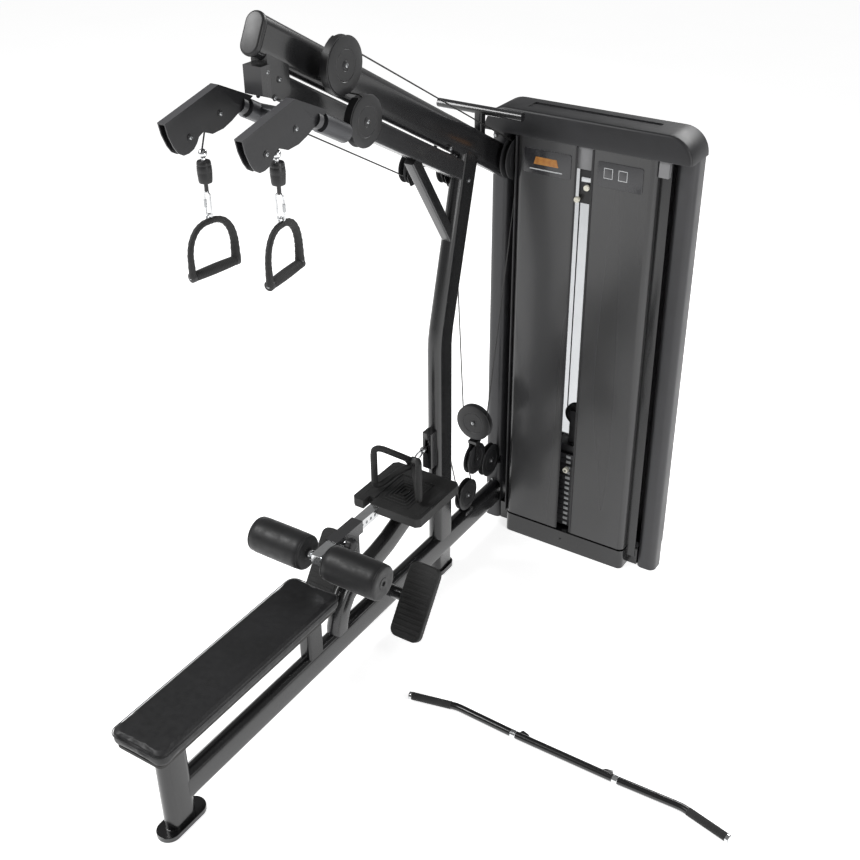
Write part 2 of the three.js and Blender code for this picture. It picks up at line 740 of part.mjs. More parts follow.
function wrapped(wheel, turn) {
  const { rim, groove } = wheel.size;
  const r = groove + CABLE.radius + 2 * GAP;
  return { x: wheel.x, y: wheel.y, z: wheel.z, r, turn, lead: Math.sqrt((rim + 4) ** 2 - r ** 2) };
}

function hangShift(side) {
  return side < 0 ? HANDLE_SHIFT.left : HANDLE_SHIFT.right;
}

// From the hand grip up over the arm's rear pulley and out through the hollow swivel shaft.
function armStops(side) {
  const x = side * ARM.x;
  const exit = swivelAxis(x, -702);
  const enter = swivelAxis(x, -880);
  return [
    { x, y: HANG_Y, z: STOP_Z + hangShift(side) + 13.5 },
    wrapped({ x, ...REAR_WHEEL, size: ARM_PULLEY }, -1),
    { x, y: enter.y, z: enter.z },
    { x, y: exit.y, z: exit.z },
  ];
}

function reversed(stops) {
  return [...stops].reverse().map((stop) => ({ ...stop, turn: -(stop.turn ?? 0) }));
}

function pullCable() {
  const { guide, rear_guide, tower, boom_upper, boom_lower } = WHEELS;
  const radius = FLOAT.upper.groove + CABLE.radius + 1;
  const { x, y, upper_z } = FLOAT;
  const loop = [];
  for (let step = 0; step <= 8; step += 1) {
    const angle = Math.PI + (Math.PI * step) / 8;
    loop.push(vec(x + radius * Math.cos(angle), y, upper_z + radius * Math.sin(angle)));
  }
  const outward = reeve([...armStops(-1), wrapped(guide, 1), wrapped(rear_guide, -1),
    { x: x - radius, y, z: upper_z + 20 }]);
  const home = reeve([{ x: x + radius, y, z: upper_z + 20 }, wrapped(tower, 1), wrapped(boom_upper, 1),
    wrapped(boom_lower, -1), ...reversed(armStops(1))]);
  return cableSolid([...outward, ...loop, ...home]);
}

function rowCable() {
  const { row, low, column: last } = WHEELS;
  const floating = { x: FLOAT.x, y: FLOAT.y, z: FLOAT.lower_z, size: FLOAT.lower };
  return cableSolid(reeve([
    { x: 0, y: -105, z: 646 }, wrapped(row, -1), wrapped(low, 1), wrapped(floating, -1), wrapped(last, 1),
    { x: last.x, y: COLUMN.front + 26, z: cableExitZ },
  ]));
}

function stackCable() {
  const radius = stackWheel.groove + CABLE.radius + 1.5;
  const top = SHROUD.top - 6;
  const stations = [vec(STACK.x - radius, STACK.y, top)];
  for (let step = 0; step <= 8; step += 1) {
    const angle = Math.PI + (Math.PI * step) / 8;
    stations.push(vec(STACK.x + radius * Math.cos(angle), STACK.y, stackWheel.z + radius * Math.sin(angle)));
  }
  stations.push(vec(STACK.x + radius, STACK.y, top));
  return cableSolid(stations);
}

// ---- swivel arms and hand grips ----

const housingOutline = [
  [-1153, 2165], [-934, 2217], [-796, 2152], [-893, 2106], [-930, 2094], [-976, 2091],
  [-1012, 2106], [-1030, 2098], [-1040, 2083], [-1055, 2070], [-1075, 2064], [-1096, 2064],
  [-1115, 2075], [-1130, 2096], [-1145, 2130],
];

function armHousing(side) {
  const x = side * ARM.x;
  const outer = sideways(outline(housingOutline), x, ARM_WIDTH);
  const inner = sideways(outline([
    [-1171, 2156], [-934, 2212], [-806, 2151], [-806, 1990], [-1171, 1990],
  ]), x, ARM_WIDTH - 8);
  const shaft = sweep(circle(14.5), [swivelAxis(x, -874), swivelAxis(x, -707)], 6);
  const collar = sweep(circle(24), [swivelAxis(x, -846), swivelAxis(x, -828)], 8);
  const bore = sweep(circle(7), [swivelAxis(x, -900), swivelAxis(x, -680)], 4);
  return cut(join(cut(outer, inner), shaft, collar), bore);
}

function cableEnd(side) {
  const x = side * ARM.x;
  const z = STOP_Z + hangShift(side);
  const profile = [[0, 13], [9, 9], [13, 0], [9, -9], [6, -12], [6, -22], [20, -22], [22, -28], [22, -44],
    [15, -100], [5, -101], [5, -112], [0, -112]];
  const lathe = new THREE.LatheGeometry(profile.map(([r, t]) => new THREE.Vector2(r, t)).reverse(), 14);
  lathe.rotateX(Math.PI / 2).translate(x, HANG_Y, z);
  const ring = rounded(30, 86, 15);
  const hole = new THREE.Path();
  hole.absarc(0, 27, 8, 0, Math.PI);
  hole.absarc(0, -27, 8, Math.PI, 2 * Math.PI);
  ring.holes.push(hole);
  const hook = new THREE.ExtrudeGeometry(ring, { depth: 6, bevelEnabled: false, curveSegments: 4 });
  hook.rotateX(Math.PI / 2).translate(x, HANG_Y + 3, z - 148);
  return join(lathe, hook);
}

function handleFrame(side) {
  const { width, strap, depth, arch_top, grip_z } = HANDLE;
  const z = STOP_Z + hangShift(side);
  const radius = width / 2;
  const shape = new THREE.Shape();
  const arch = arch_top - radius * 0.92;
  shape.moveTo(-radius, grip_z - 14);
  shape.lineTo(-radius + strap, grip_z - 14);
  shape.lineTo(-radius + strap, arch);
  shape.absellipse(0, arch, radius - strap, radius * 0.92 - strap, Math.PI, 0, true);
  shape.lineTo(radius - strap, grip_z - 14);
  shape.lineTo(radius, grip_z - 14);
  shape.lineTo(radius, arch);
  shape.absellipse(0, arch, radius, radius * 0.92, 0, Math.PI, false);
  const eye = circle(13);
  const hole = new THREE.Path();
  hole.absarc(0, 0, 7.5, 0, 2 * Math.PI, true);
  eye.holes.push(hole);
  const strapBody = sideways(shape, 0, depth, 6);
  const eyeBody = sideways(eye, 0, 9, 6).translate(0, 0, arch_top + 6);
  return join(strapBody, eyeBody).rotateZ(side * handleTurn).translate(side * ARM.x, HANG_Y, z);
}

const handleTurn = THREE.MathUtils.degToRad(8);

function handleGrip(side) {
  const { width, strap, grip_z, grip_radius } = HANDLE;
  const z = STOP_Z + hangShift(side);
  const length = width - 2 * strap - 2 * GAP;
  const geometry = rod('y', grip_radius, length, 0, 0, grip_z, 14);
  return geometry.rotateZ(side * handleTurn).translate(side * ARM.x, HANG_Y, z);
}

// ---- row handle and lat bar ----

function roundBar(points, radius, sides = 8) {
  const shape = new THREE.Shape();
  for (let side = 0; side < sides; side += 1) {
    const angle = ((side + 0.5) * 2 * Math.PI) / sides;
    if (side === 0) shape.moveTo(radius * Math.cos(angle), radius * Math.sin(angle));
    else shape.lineTo(radius * Math.cos(angle), radius * Math.sin(angle));
  }
  return sweep(shape, points.map(([x, y, z]) => vec(x, y, z)), 1);
}

function rowHandle() {
  const { apex_y, apex_z, grip_x, grip_y, grip_z, half_grip } = ROW_HANDLE;
  const bars = [-1, 1].map((side) => roundBar([
    [0, apex_y, apex_z + 8], [side * grip_x * 0.8, grip_y + 25, grip_z + half_grip - 2],
    [side * grip_x * 0.95, grip_y + 7, grip_z + half_grip - 4], [side * grip_x, grip_y, grip_z + half_grip - 22],
    [side * grip_x, grip_y, grip_z - half_grip + 22], [side * grip_x * 0.95, grip_y + 7, grip_z - half_grip + 4],
    [side * grip_x * 0.8, grip_y + 25, grip_z - half_grip + 2], [0, apex_y, apex_z - 8],
  ], 13));
  const knuckle = block(26, 30, 40, 0, apex_y, apex_z);
  const link = roundBar([[0, apex_y, apex_z], [0, -128, 645]], 6);
  const swivel = rod('y', 12, 26, 0, -121, 646, 10);
  return join(...bars, knuckle, link, swivel);
}

function latBar() {
  const { y, z, start, radius, bends } = LAT_BAR;
  const points = bends.map(([x, back]) => [start + x, y + back, z]);
  return roundBar(points, radius, 10);
}

// ---- assembly ----

const machine = new THREE.Group();

function add(name, geometry, surface) {
  const mesh = new THREE.Mesh(geometry, surface);
  mesh.name = name;
  machine.add(mesh);
}

const sides = [[-1, 'left'], [1, 'right']];

add('base_rail', baseRail(), frameBlack());
add('front_leg', frontLeg(), frameBlack());
add('main_post', mainPost(), frameBlack());
add('top_boom', topBoom(), frameBlack());
add('boom_cap', boomCap(), satinBlack());
add('pulley_beam', pulleyBeam(), frameBlack());
add('beam_hanger', beamHanger(), satinBlack());
add('swivel_yoke', swivelYoke(), satinBlack());
add('seat_pad', seatPad(), vinylBlack());
add('seat_board', seatBoard(), satinBlack());
add('curved_support', curvedSupport(), frameBlack());
add('handle_tray', handleTray(), rubberBlack());
add('roller_carriage', rollerCarriage(), chrome());
add('pop_pin', popPin(), nylonBlack());
add('tower_base', towerBase(), satinBlack());
add('top_cover', topCover(), satinBlack());
add('shroud_rear', shroudRear(), smoked());
add('weight_plates', restingPlates(), satinBlack());
add('lifted_plates', liftedPlates(), satinBlack());
add('selector_pin', selectorPin(), chrome());
add('row_pulley_box', rowPulleyBox(), satinBlack());
add('floating_block', floatingBlock(), satinBlack());
add('pull_cable', pullCable(), nylonBlack());
add('row_cable', rowCable(), nylonBlack());
add('stack_cable', stackCable(), nylonBlack());
add('row_handle', rowHandle(), rubberBlack());
add('lat_bar', latBar(), satinBlack());

for (const [name, place] of Object.entries(WHEELS)) {
  add(`${name}_pulley`, wheel('x', place, place.size), nylonBlack());
}
add('float_upper_pulley', wheel('y', { ...FLOAT, z: FLOAT.upper_z }, FLOAT.upper), nylonBlack());
add('float_lower_pulley', wheel('x', { ...FLOAT, z: FLOAT.lower_z }, FLOAT.lower), nylonBlack());
add('stack_pulley', wheel('y', { x: STACK.x, y: STACK.y, z: stackWheel.z }, stackWheel), nylonBlack());

for (const [side, word] of sides) {
  add(`${word}_column`, column(side), frameBlack());
  add(`shroud_${word}`, shroudFront(side), smoked());
  add(`guide_rod_${word}`, guideRod(side), chrome());
  add(`footplate_${word}`, footplate(side), rubberBlack());
  add(`roller_${word}`, roller(side), vinylBlack());
  add(`arm_housing_${word}`, armHousing(side), satinBlack());
  add(`arm_rear_pulley_${word}`, wheel('x', { x: side * ARM.x, ...REAR_WHEEL }, ARM_PULLEY, 16), nylonBlack());
  add(`arm_front_pulley_${word}`, wheel('x', { x: side * ARM.x, ...FRONT_WHEEL }, ARM_PULLEY, 16), nylonBlack());
  add(`cable_end_${word}`, cableEnd(side), rubberBlack());
  add(`handle_frame_${word}`, handleFrame(side), rubberBlack());
  add(`handle_grip_${word}`, handleGrip(side), rubberBlack());
}

export default machine;
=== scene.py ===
import math
import bmesh
import bpy
from mathutils import Matrix, Vector


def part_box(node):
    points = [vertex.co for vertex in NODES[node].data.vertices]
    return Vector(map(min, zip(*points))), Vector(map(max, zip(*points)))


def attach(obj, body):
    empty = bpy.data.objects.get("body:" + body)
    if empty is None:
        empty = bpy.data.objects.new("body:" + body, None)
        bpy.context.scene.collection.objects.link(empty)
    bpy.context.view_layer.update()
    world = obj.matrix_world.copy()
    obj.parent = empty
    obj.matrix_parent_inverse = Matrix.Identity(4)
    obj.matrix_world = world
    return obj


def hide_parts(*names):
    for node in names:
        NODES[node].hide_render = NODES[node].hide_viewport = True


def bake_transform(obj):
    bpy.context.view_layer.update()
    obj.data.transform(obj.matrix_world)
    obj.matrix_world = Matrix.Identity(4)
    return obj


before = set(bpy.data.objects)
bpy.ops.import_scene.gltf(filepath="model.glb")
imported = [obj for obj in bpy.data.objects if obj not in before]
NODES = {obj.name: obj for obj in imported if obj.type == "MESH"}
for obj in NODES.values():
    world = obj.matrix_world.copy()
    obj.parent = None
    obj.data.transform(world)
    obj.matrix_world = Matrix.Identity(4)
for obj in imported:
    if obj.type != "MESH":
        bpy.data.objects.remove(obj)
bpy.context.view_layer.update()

MM = 0.001
scene = bpy.context.scene


# ---- materials ----

def graph(name):
    made = bpy.data.materials.new(name)
    made.use_nodes = True
    tree = made.node_tree
    shader = tree.nodes["Principled BSDF"]
    place = tree.nodes.new("ShaderNodeTexCoord")
    return made, tree, shader, place.outputs["Object"]


def noise(tree, where, scale, detail=3.0, stretch=None):
    if stretch:
        mapping = tree.nodes.new("ShaderNodeMapping")
        mapping.inputs["Scale"].default_value = stretch
        tree.links.new(where, mapping.inputs["Vector"])
        where = mapping.outputs["Vector"]
    made = tree.nodes.new("ShaderNodeTexNoise")
    made.inputs["Scale"].default_value = scale
    made.inputs["Detail"].default_value = detail
    tree.links.new(where, made.inputs["Vector"])
    return made.outputs["Fac"]


def cells(tree, where, scale):
    made = tree.nodes.new("ShaderNodeTexVoronoi")
    made.feature = "DISTANCE_TO_EDGE"
    made.inputs["Scale"].default_value = scale
    tree.links.new(where, made.inputs["Vector"])
    return made.outputs["Distance"]


def wave(tree, where, scale, direction, profile="SIN"):
    made = tree.nodes.new("ShaderNodeTexWave")
    made.bands_direction = direction
    made.wave_profile = profile
    made.inputs["Scale"].default_value = scale
    tree.links.new(where, made.inputs["Vector"])
    return made.outputs["Fac"]


def ramp(tree, fac, stops):
    made = tree.nodes.new("ShaderNodeValToRGB")
    ends = made.color_ramp.elements
    while len(ends) < len(stops):
        ends.new(0.5)
    for end, (at, value) in zip(ends, stops):
        end.position = at
        end.color = (*value, 1) if isinstance(value, tuple) else (value, value, value, 1)
    tree.links.new(fac, made.inputs["Fac"])
    return made.outputs["Color"]


def bump(tree, shader, *layers):
    last = None
    for height, strength, depth in layers:
        made = tree.nodes.new("ShaderNodeBump")
        made.inputs["Strength"].default_value = strength
        made.inputs["Distance"].default_value = depth
        tree.links.new(height, made.inputs["Height"])
        if last:
            tree.links.new(last, made.inputs["Normal"])
        last = made.outputs["Normal"]
    tree.links.new(last, shader.inputs["Normal"])


def worn(tree, fac, edge, body_stops, edge_color, low=0.53, high=0.62):
    """Body colour that varies with fac and lightens along sharp edges."""
    body = ramp(tree, fac, body_stops)
    geometry = tree.nodes.new("ShaderNodeNewGeometry")
    mask = tree.nodes.new("ShaderNodeMapRange")
    mask.inputs["From Min"].default_value = low
    mask.inputs["From Max"].default_value = high
    mask.inputs["To Max"].default_value = edge
    tree.links.new(geometry.outputs["Pointiness"], mask.inputs["Value"])
    mix = tree.nodes.new("ShaderNodeMix")
    mix.data_type = "RGBA"
    mix.inputs[7].default_value = (*edge_color, 1)
    tree.links.new(mask.outputs["Result"], mix.inputs[0])
    tree.links.new(body, mix.inputs[6])
    return mix.outputs[2]


def surface(name, dark, light, rough, grain=900, depth=0.00012, metallic=0.0, coat=0.0, edge=0.25,
            edge_color=(0.12, 0.12, 0.125), strength=0.25, patch=9, stretch=None, specular=0.5):
    made, tree, shader, where = graph(name)
    broad = noise(tree, where, patch, 4, stretch)
    fine = noise(tree, where, grain, 2)
    shader.inputs["Metallic"].default_value = metallic
    shader.inputs["Coat Weight"].default_value = coat
    shader.inputs["Coat Roughness"].default_value = 0.12
    shader.inputs["Specular IOR Level"].default_value = specular
    color = worn(tree, broad, edge, [(0.3, dark), (0.7, light)], edge_color)
    tree.links.new(color, shader.inputs["Base Color"])
    tree.links.new(ramp(tree, broad, [(0.3, rough[0]), (0.75, rough[1])]), shader.inputs["Roughness"])
    bump(tree, shader, (fine, strength, depth))
    return made


def vinyl():
    made, tree, shader, where = graph("vinyl_grain")
    pores = cells(tree, where, 620)
    creases = noise(tree, where, 46, 6)
    broad = noise(tree, where, 7, 3)
    shader.inputs["Sheen Weight"].default_value = 0.06
    shader.inputs["Specular IOR Level"].default_value = 0.42
    color = worn(tree, broad, 0.2, [(0.3, (0.006, 0.006, 0.0065)), (0.7, (0.011, 0.011, 0.012))],
                 (0.05, 0.05, 0.052))
    tree.links.new(color, shader.inputs["Base Color"])
    tree.links.new(ramp(tree, creases, [(0.35, 0.42), (0.7, 0.58)]), shader.inputs["Roughness"])
    bump(tree, shader, (pores, 0.32, 0.0004), (creases, 0.12, 0.0012))
    return made


def rubber(name, scale, direction="X", strength=0.6, light=0.020):
    made, tree, shader, where = graph(name)
    ribs = wave(tree, where, scale, direction)
    fine = noise(tree, where, 700, 3)
    broad = noise(tree, where, 12, 4)
    dusty = [(0.35, (light * 0.55,) * 3), (0.75, (light * 1.2,) * 3)]
    tree.links.new(worn(tree, broad, 0.3, dusty, (0.07, 0.07, 0.072)), shader.inputs["Base Color"])
    tree.links.new(ramp(tree, fine, [(0.3, 0.62), (0.8, 0.82)]), shader.inputs["Roughness"])
    bump(tree, shader, (ribs, strength, 0.0006), (fine, 0.3, 0.0002))
    return made


def mesh_rubber(name, scale):
    made, tree, shader, where = graph(name)
    warp, weft = wave(tree, where, scale, "X"), wave(tree, where, scale, "Y")
    slope = wave(tree, where, scale, "Z")
    fine = noise(tree, where, 800, 3)
    broad = noise(tree, where, 10, 4)
    tree.links.new(worn(tree, broad, 0.3, [(0.35, (0.010,) * 3), (0.75, (0.022,) * 3)], (0.06,) * 3),
                   shader.inputs["Base Color"])
    tree.links.new(ramp(tree, fine, [(0.3, 0.6), (0.8, 0.8)]), shader.inputs["Roughness"])
    bump(tree, shader, (warp, 0.5, 0.0006), (weft, 0.5, 0.0006), (slope, 0.35, 0.0005), (fine, 0.25, 0.0002))
    return made


def metal(name, color, rough, streak=(4, 4, 300), grain=60):
    made, tree, shader, where = graph(name)
    lines = noise(tree, where, grain, 2, streak)
    haze = noise(tree, where, 25, 4)
    shader.inputs["Metallic"].default_value = 1.0
    low = tuple(c * 0.86 for c in color)
    tree.links.new(ramp(tree, haze, [(0.35, low), (0.7, color)]), shader.inputs["Base Color"])
    tree.links.new(ramp(tree, lines, [(0.3, rough * 0.7), (0.75, rough * 1.5)]), shader.inputs["Roughness"])
    bump(tree, shader, (lines, 0.06, 0.0001))
    return made


def smoked():
    made, tree, shader, where = graph("smoked_panel")
    # Painted highlight: noise stretched along Z paints lighter vertical streaks down the panel where its
    # reflections fall; the same field varies the roughness.
    painted_highlight_streaks = noise(tree, where, 2.6, 1, (3.0, 3.0, 0.12))
    fine = noise(tree, where, 300, 2)
    shader.inputs["Coat Weight"].default_value = 0.35
    shader.inputs["Coat Roughness"].default_value = 0.16
    tones = [(0.35, (0.0085, 0.0085, 0.009)), (0.65, (0.013, 0.013, 0.0145))]
    color = worn(tree, painted_highlight_streaks, 0.3, tones, (0.14,) * 3)
    tree.links.new(color, shader.inputs["Base Color"])
    tree.links.new(ramp(tree, painted_highlight_streaks, [(0.3, 0.24), (0.7, 0.36)]), shader.inputs["Roughness"])
    bump(tree, shader, (fine, 0.05, 0.0002))
    return made


def tinted_pane():
    made, tree, shader, where = graph("tinted_pane")
    haze = noise(tree, where, 5, 3)
    shader.inputs["Transmission Weight"].default_value = 1.0
    shader.inputs["IOR"].default_value = 1.02
    tones = [(0.3, (0.42, 0.43, 0.44)), (0.7, (0.47, 0.48, 0.49))]
    tree.links.new(ramp(tree, haze, tones), shader.inputs["Base Color"])
    tree.links.new(ramp(tree, haze, [(0.3, 0.02), (0.7, 0.06)]), shader.inputs["Roughness"])
    return made


def cable_coat():
    made, tree, shader, where = graph("coated_wire")
    lay = wave(tree, where, 190, "DIAGONAL")
    broad = noise(tree, where, 30, 3)
    tree.links.new(ramp(tree, broad, [(0.3, 0.010), (0.7, 0.024)]), shader.inputs["Base Color"])
    tree.links.new(ramp(tree, broad, [(0.3, 0.28), (0.7, 0.42)]), shader.inputs["Roughness"])
    bump(tree, shader, (lay, 0.4, 0.0004))
    return made


BLACK = surface("powder_black", (0.0038, 0.0038, 0.0042), (0.0066, 0.0066, 0.0072), (0.2, 0.28), grain=420,
                depth=0.00015, coat=0.35, strength=0.1, patch=3)
CHARCOAL = surface("powder_charcoal", (0.022, 0.022, 0.024), (0.030, 0.030, 0.033), (0.34, 0.46), grain=600,
                   depth=0.0002, strength=0.22)
HOUSING = surface("satin_housing", (0.010, 0.010, 0.011), (0.016, 0.016, 0.018), (0.34, 0.46), grain=700,
                  depth=0.00016, strength=0.2, edge=0.45, edge_color=(0.22, 0.22, 0.23))
BEARING = surface("satin_steel_grey", (0.045, 0.046, 0.05), (0.07, 0.071, 0.076), (0.3, 0.42), metallic=0.5,
                  grain=500)
COVER = surface("cover_sheet", (0.008, 0.008, 0.009), (0.013, 0.013, 0.015), (0.42, 0.55), grain=1100,
                depth=0.00018, strength=0.3, edge=0.35, edge_color=(0.14, 0.14, 0.145))
NYLON = surface("moulded_nylon", (0.006, 0.006, 0.0065), (0.012, 0.012, 0.013), (0.34, 0.5), grain=800,
                edge=0.4, edge_color=(0.08, 0.08, 0.083))
ENAMEL = surface("plate_enamel", (0.016, 0.016, 0.018), (0.03, 0.03, 0.033), (0.35, 0.5), grain=500,
                 depth=0.0003, strength=0.3)
BOARD = surface("stained_board", (0.012, 0.011, 0.010), (0.026, 0.024, 0.022), (0.6, 0.75), grain=500,
                stretch=(1, 0.1, 1), patch=40)
CREAM = surface("cream_knob", (0.62, 0.60, 0.50), (0.74, 0.71, 0.60), (0.3, 0.45), grain=500, edge=0.2,
                edge_color=(0.8, 0.78, 0.7))
PALE = surface("pale_sheet", (0.42, 0.43, 0.44), (0.55, 0.56, 0.57), (0.35, 0.5), grain=500, edge=0.2,
               edge_color=(0.7, 0.7, 0.7))
MID = surface("mid_sheet", (0.16, 0.16, 0.165), (0.2, 0.2, 0.205), (0.4, 0.5), grain=500, edge=0.2,
              edge_color=(0.3, 0.3, 0.3))
PLACARD = surface("placard_dark", (0.010, 0.010, 0.012), (0.022, 0.022, 0.025), (0.22, 0.3), grain=300,
                  coat=0.4)
AMBER = surface("placard_amber", (0.30, 0.11, 0.02), (0.42, 0.19, 0.035), (0.3, 0.4), grain=300, patch=60)
VINYL = vinyl()
GRIP = rubber("ribbed_grip", 75, "Y")
STRAP = rubber("wrapped_strap", 110, "DIAGONAL", 0.7)
TREAD = mesh_rubber("textured_rubber", 95)
CHROME = metal("polished_chrome", (0.78, 0.79, 0.80), 0.10)
STEEL = metal("zinc_steel", (0.52, 0.53, 0.54), 0.24, (60, 4, 4), 40)
BRASS = metal("brass_tip", (0.72, 0.52, 0.22), 0.2)
SMOKED = smoked()
PANE = tinted_pane()
WIRE = cable_coat()


# ---- mesh helpers (millimetres in, metres out) ----

def finish_mesh(name, shape, finish, body, smooth=True, angle=35):
    data = bpy.data.meshes.new(name)
    bmesh.ops.remove_doubles(shape, verts=shape.verts, dist=1e-7)
    bmesh.ops.recalc_face_normals(shape, faces=shape.faces)
    shape.to_mesh(data)
    shape.free()
    data.materials.append(finish)
    if smooth:
        data.shade_smooth()
        data.set_sharp_from_angle(angle=math.radians(angle))
    made = bpy.data.objects.new(name, data)
    scene.collection.objects.link(made)
    if body:
        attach(made, body)
    return made


def turned(axis, centre):
    """Takes a body of revolution made about Z onto an axis and a centre."""
    spin = Vector((0, 0, 1)).rotation_difference(Vector(axis).normalized()).to_matrix().to_4x4()
    return Matrix.Translation(Vector(centre) * MM) @ spin


def circle_point(radius, turn, height):
    """Point on a circle about Z, in metres."""
    return radius * MM * math.cos(turn), radius * MM * math.sin(turn), height * MM


def lathe(name, profile, axis, centre, finish, body, steps=48, angle=35):
    shape = bmesh.new()
    rings = []
    for radius, height in profile:
        if radius < 1e-6:
            rings.append([shape.verts.new((0, 0, height * MM))])
            continue
        turns = [2 * math.pi * k / steps for k in range(steps)]
        rings.append([shape.verts.new(circle_point(radius, t, height)) for t in turns])
    loops = zip(rings, rings[1:] + rings[:1]) if profile[0][0] > 1e-6 else zip(rings, rings[1:])
    for low, high in loops:
        for k in range(steps):
            n = (k + 1) % steps
            corners = [low[k % len(low)], low[n % len(low)], high[n % len(high)], high[k % len(high)]]
            corners = list(dict.fromkeys(corners))
            if len(corners) > 2:
                shape.faces.new(corners)
    shape.transform(turned(axis, centre))
    return finish_mesh(name, shape, finish, body, angle=angle)


def smooth_line(points, steps=8):
    """Catmull-Rom curve through the points."""
    pts = [Vector(p) for p in points]
    pts = [2 * pts[0] - pts[1], *pts, 2 * pts[-1] - pts[-2]]
    line = []
    for a, b, c, d in zip(pts, pts[1:], pts[2:], pts[3:]):
        for k in range(steps):
            t = k / steps
            line.append(0.5 * (2 * b + (c - a) * t + (2 * a - 5 * b + 4 * c - d) * t * t
                               + (3 * b - a - 3 * c + d) * t ** 3))
    return [*line, pts[-2]]


def skin(shape, rings, closed=False):
    """Faces from ring to ring, and a cap on each end of an open line."""
    pairs = list(zip(rings, rings[1:])) + ([(rings[-1], rings[0])] if closed else [])
    for low, high in pairs:
        for k in range(len(low)):
            n = (k + 1) % len(low)
            shape.faces.new([low[k], low[n], high[n], high[k]])
    if not closed:
        shape.faces.new(rings[0][::-1])
        shape.faces.new(rings[-1])


def tube(name, points, radius, finish, body, sides=20, closed=False, flat=1.0, angle=35):
    """Round bar along a line; radius may be a list, and flat scales the section's second axis."""
    line = [Vector(p) * MM for p in points]
    count = len(line)
    radii = radius if isinstance(radius, list) else [radius] * count
    shape = bmesh.new()
    rings = []
    up = None
    for k, here in enumerate(line):
        before = line[(k - 1) % count] if closed or k else here
        after = line[(k + 1) % count] if closed or k < count - 1 else here
        ahead = (after - before).normalized()
        if up is None:
            up = ahead.orthogonal().normalized()
        up = (up - ahead * up.dot(ahead)).normalized()
        side = ahead.cross(up)
        ring = []
        for s in range(sides):
            t = 2 * math.pi * s / sides
            out = up * math.cos(t) + side * math.sin(t) * flat
            ring.append(shape.verts.new(here + out * radii[k] * MM))
        rings.append(ring)
    skin(shape, rings, closed)
    return finish_mesh(name, shape, finish, body, angle=angle)


def plate(name, outline, thick, place, finish, body, edge=1.0):
    """Extruded outline (in the plane's own two axes) with softened edges; place is a matrix."""
    shape = bmesh.new()
    corners = [shape.verts.new((u * MM, v * MM, -thick / 2 * MM)) for u, v in outline]
    face = shape.faces.new(corners)
    grown = bmesh.ops.extrude_face_region(shape, geom=[face])["geom"]
    bmesh.ops.translate(shape, verts=[g for g in grown if isinstance(g, bmesh.types.BMVert)],
                        vec=(0, 0, thick * MM))
    bmesh.ops.recalc_face_normals(shape, faces=shape.faces)
    if edge:
        sharp = [e for e in shape.edges if e.calc_face_angle(0) > 0.5]
        bmesh.ops.bevel(shape, geom=sharp, offset=edge * MM, segments=3, profile=0.6, affect="EDGES",
                        clamp_overlap=True)
    shape.transform(place)
    return finish_mesh(name, shape, finish, body)


def box(name, low, high, finish, body, edge=2.0):
    centre = [(a + b) / 2 * MM for a, b in zip(low, high)]
    x, y = (high[0] - low[0]) / 2, (high[1] - low[1]) / 2
    return plate(name, [(-x, -y), (x, -y), (x, y), (-x, y)], high[2] - low[2], Matrix.Translation(centre),
                 finish, body, edge)


def facing(axis, centre):
    """Plane across an axis: 'x' takes (u, v) to (Y, Z), 'y' to (X, Z), 'z' to (X, Y)."""
    turns = {
        "x": Matrix(((0, 0, 1), (1, 0, 0), (0, 1, 0))),
        "y": Matrix(((1, 0, 0), (0, 0, -1), (0, 1, 0))),
        "z": Matrix.Identity(3),
    }
    return Matrix.Translation(Vector(centre) * MM) @ turns[axis].to_4x4()


def bolt(name, axis, centre, body, size=9.0, finish=STEEL):
    """Dark washer and domed socket head standing on a face; centre is on the face."""
    washer = [(0, 0), (size * 1.25, 0), (size * 1.25, 1.3), (size * 1.15, 1.8), (0, 1.8)]
    lathe(name + "_washer", washer, axis, centre, NYLON, body, 28, 30)
    head = [(0.78, 0.4), (0.66, 0.62), (0.42, 0.72), (0.36, 0.72), (0.33, 0.42), (0, 0.42)]
    profile = [(0, 1.5), (size * 0.78, 1.5), *[(size * u, size * v) for u, v in head]]
    lathe(name, profile, axis, centre, finish, body, 28, 30)


# ---- CAD nodes that stay: rounded edges and smooth curves ----

def smoothing_nodes():
    group = bpy.data.node_groups.new("clean_shading", "GeometryNodeTree")
    group.interface.new_socket("Geometry", in_out="INPUT", socket_type="NodeSocketGeometry")
    group.interface.new_socket("Geometry", in_out="OUTPUT", socket_type="NodeSocketGeometry")
    start = group.nodes.new("NodeGroupInput")
    end = group.nodes.new("NodeGroupOutput")
    drop = group.nodes.new("GeometryNodeRemoveAttribute")
    drop.inputs["Name"].default_value = "custom_normal"
    weld = group.nodes.new("GeometryNodeMergeByDistance")
    weld.inputs["Distance"].default_value = 0.00002
    soft = group.nodes.new("GeometryNodeSetShadeSmooth")
    crisp = group.nodes.new("GeometryNodeSetShadeSmooth")
    crisp.domain = "EDGE"
    crisp.inputs["Shade Smooth"].default_value = False
    angle = group.nodes.new("GeometryNodeInputMeshEdgeAngle")
    test = group.nodes.new("FunctionNodeCompare")
    test.data_type = "FLOAT"
    test.operation = "GREATER_THAN"
    test.inputs[1].default_value = math.radians(32)
    link = group.links.new
    link(start.outputs[0], drop.inputs["Geometry"])
    link(drop.outputs[0], weld.inputs["Geometry"])
    link(weld.outputs[0], soft.inputs["Geometry"])
    link(soft.outputs[0], crisp.inputs["Geometry"])
    link(angle.outputs["Unsigned Angle"], test.inputs[0])
    link(test.outputs[0], crisp.inputs["Selection"])
    link(crisp.outputs[0], end.inputs[0])
    return group


CLEAN = smoothing_nodes()


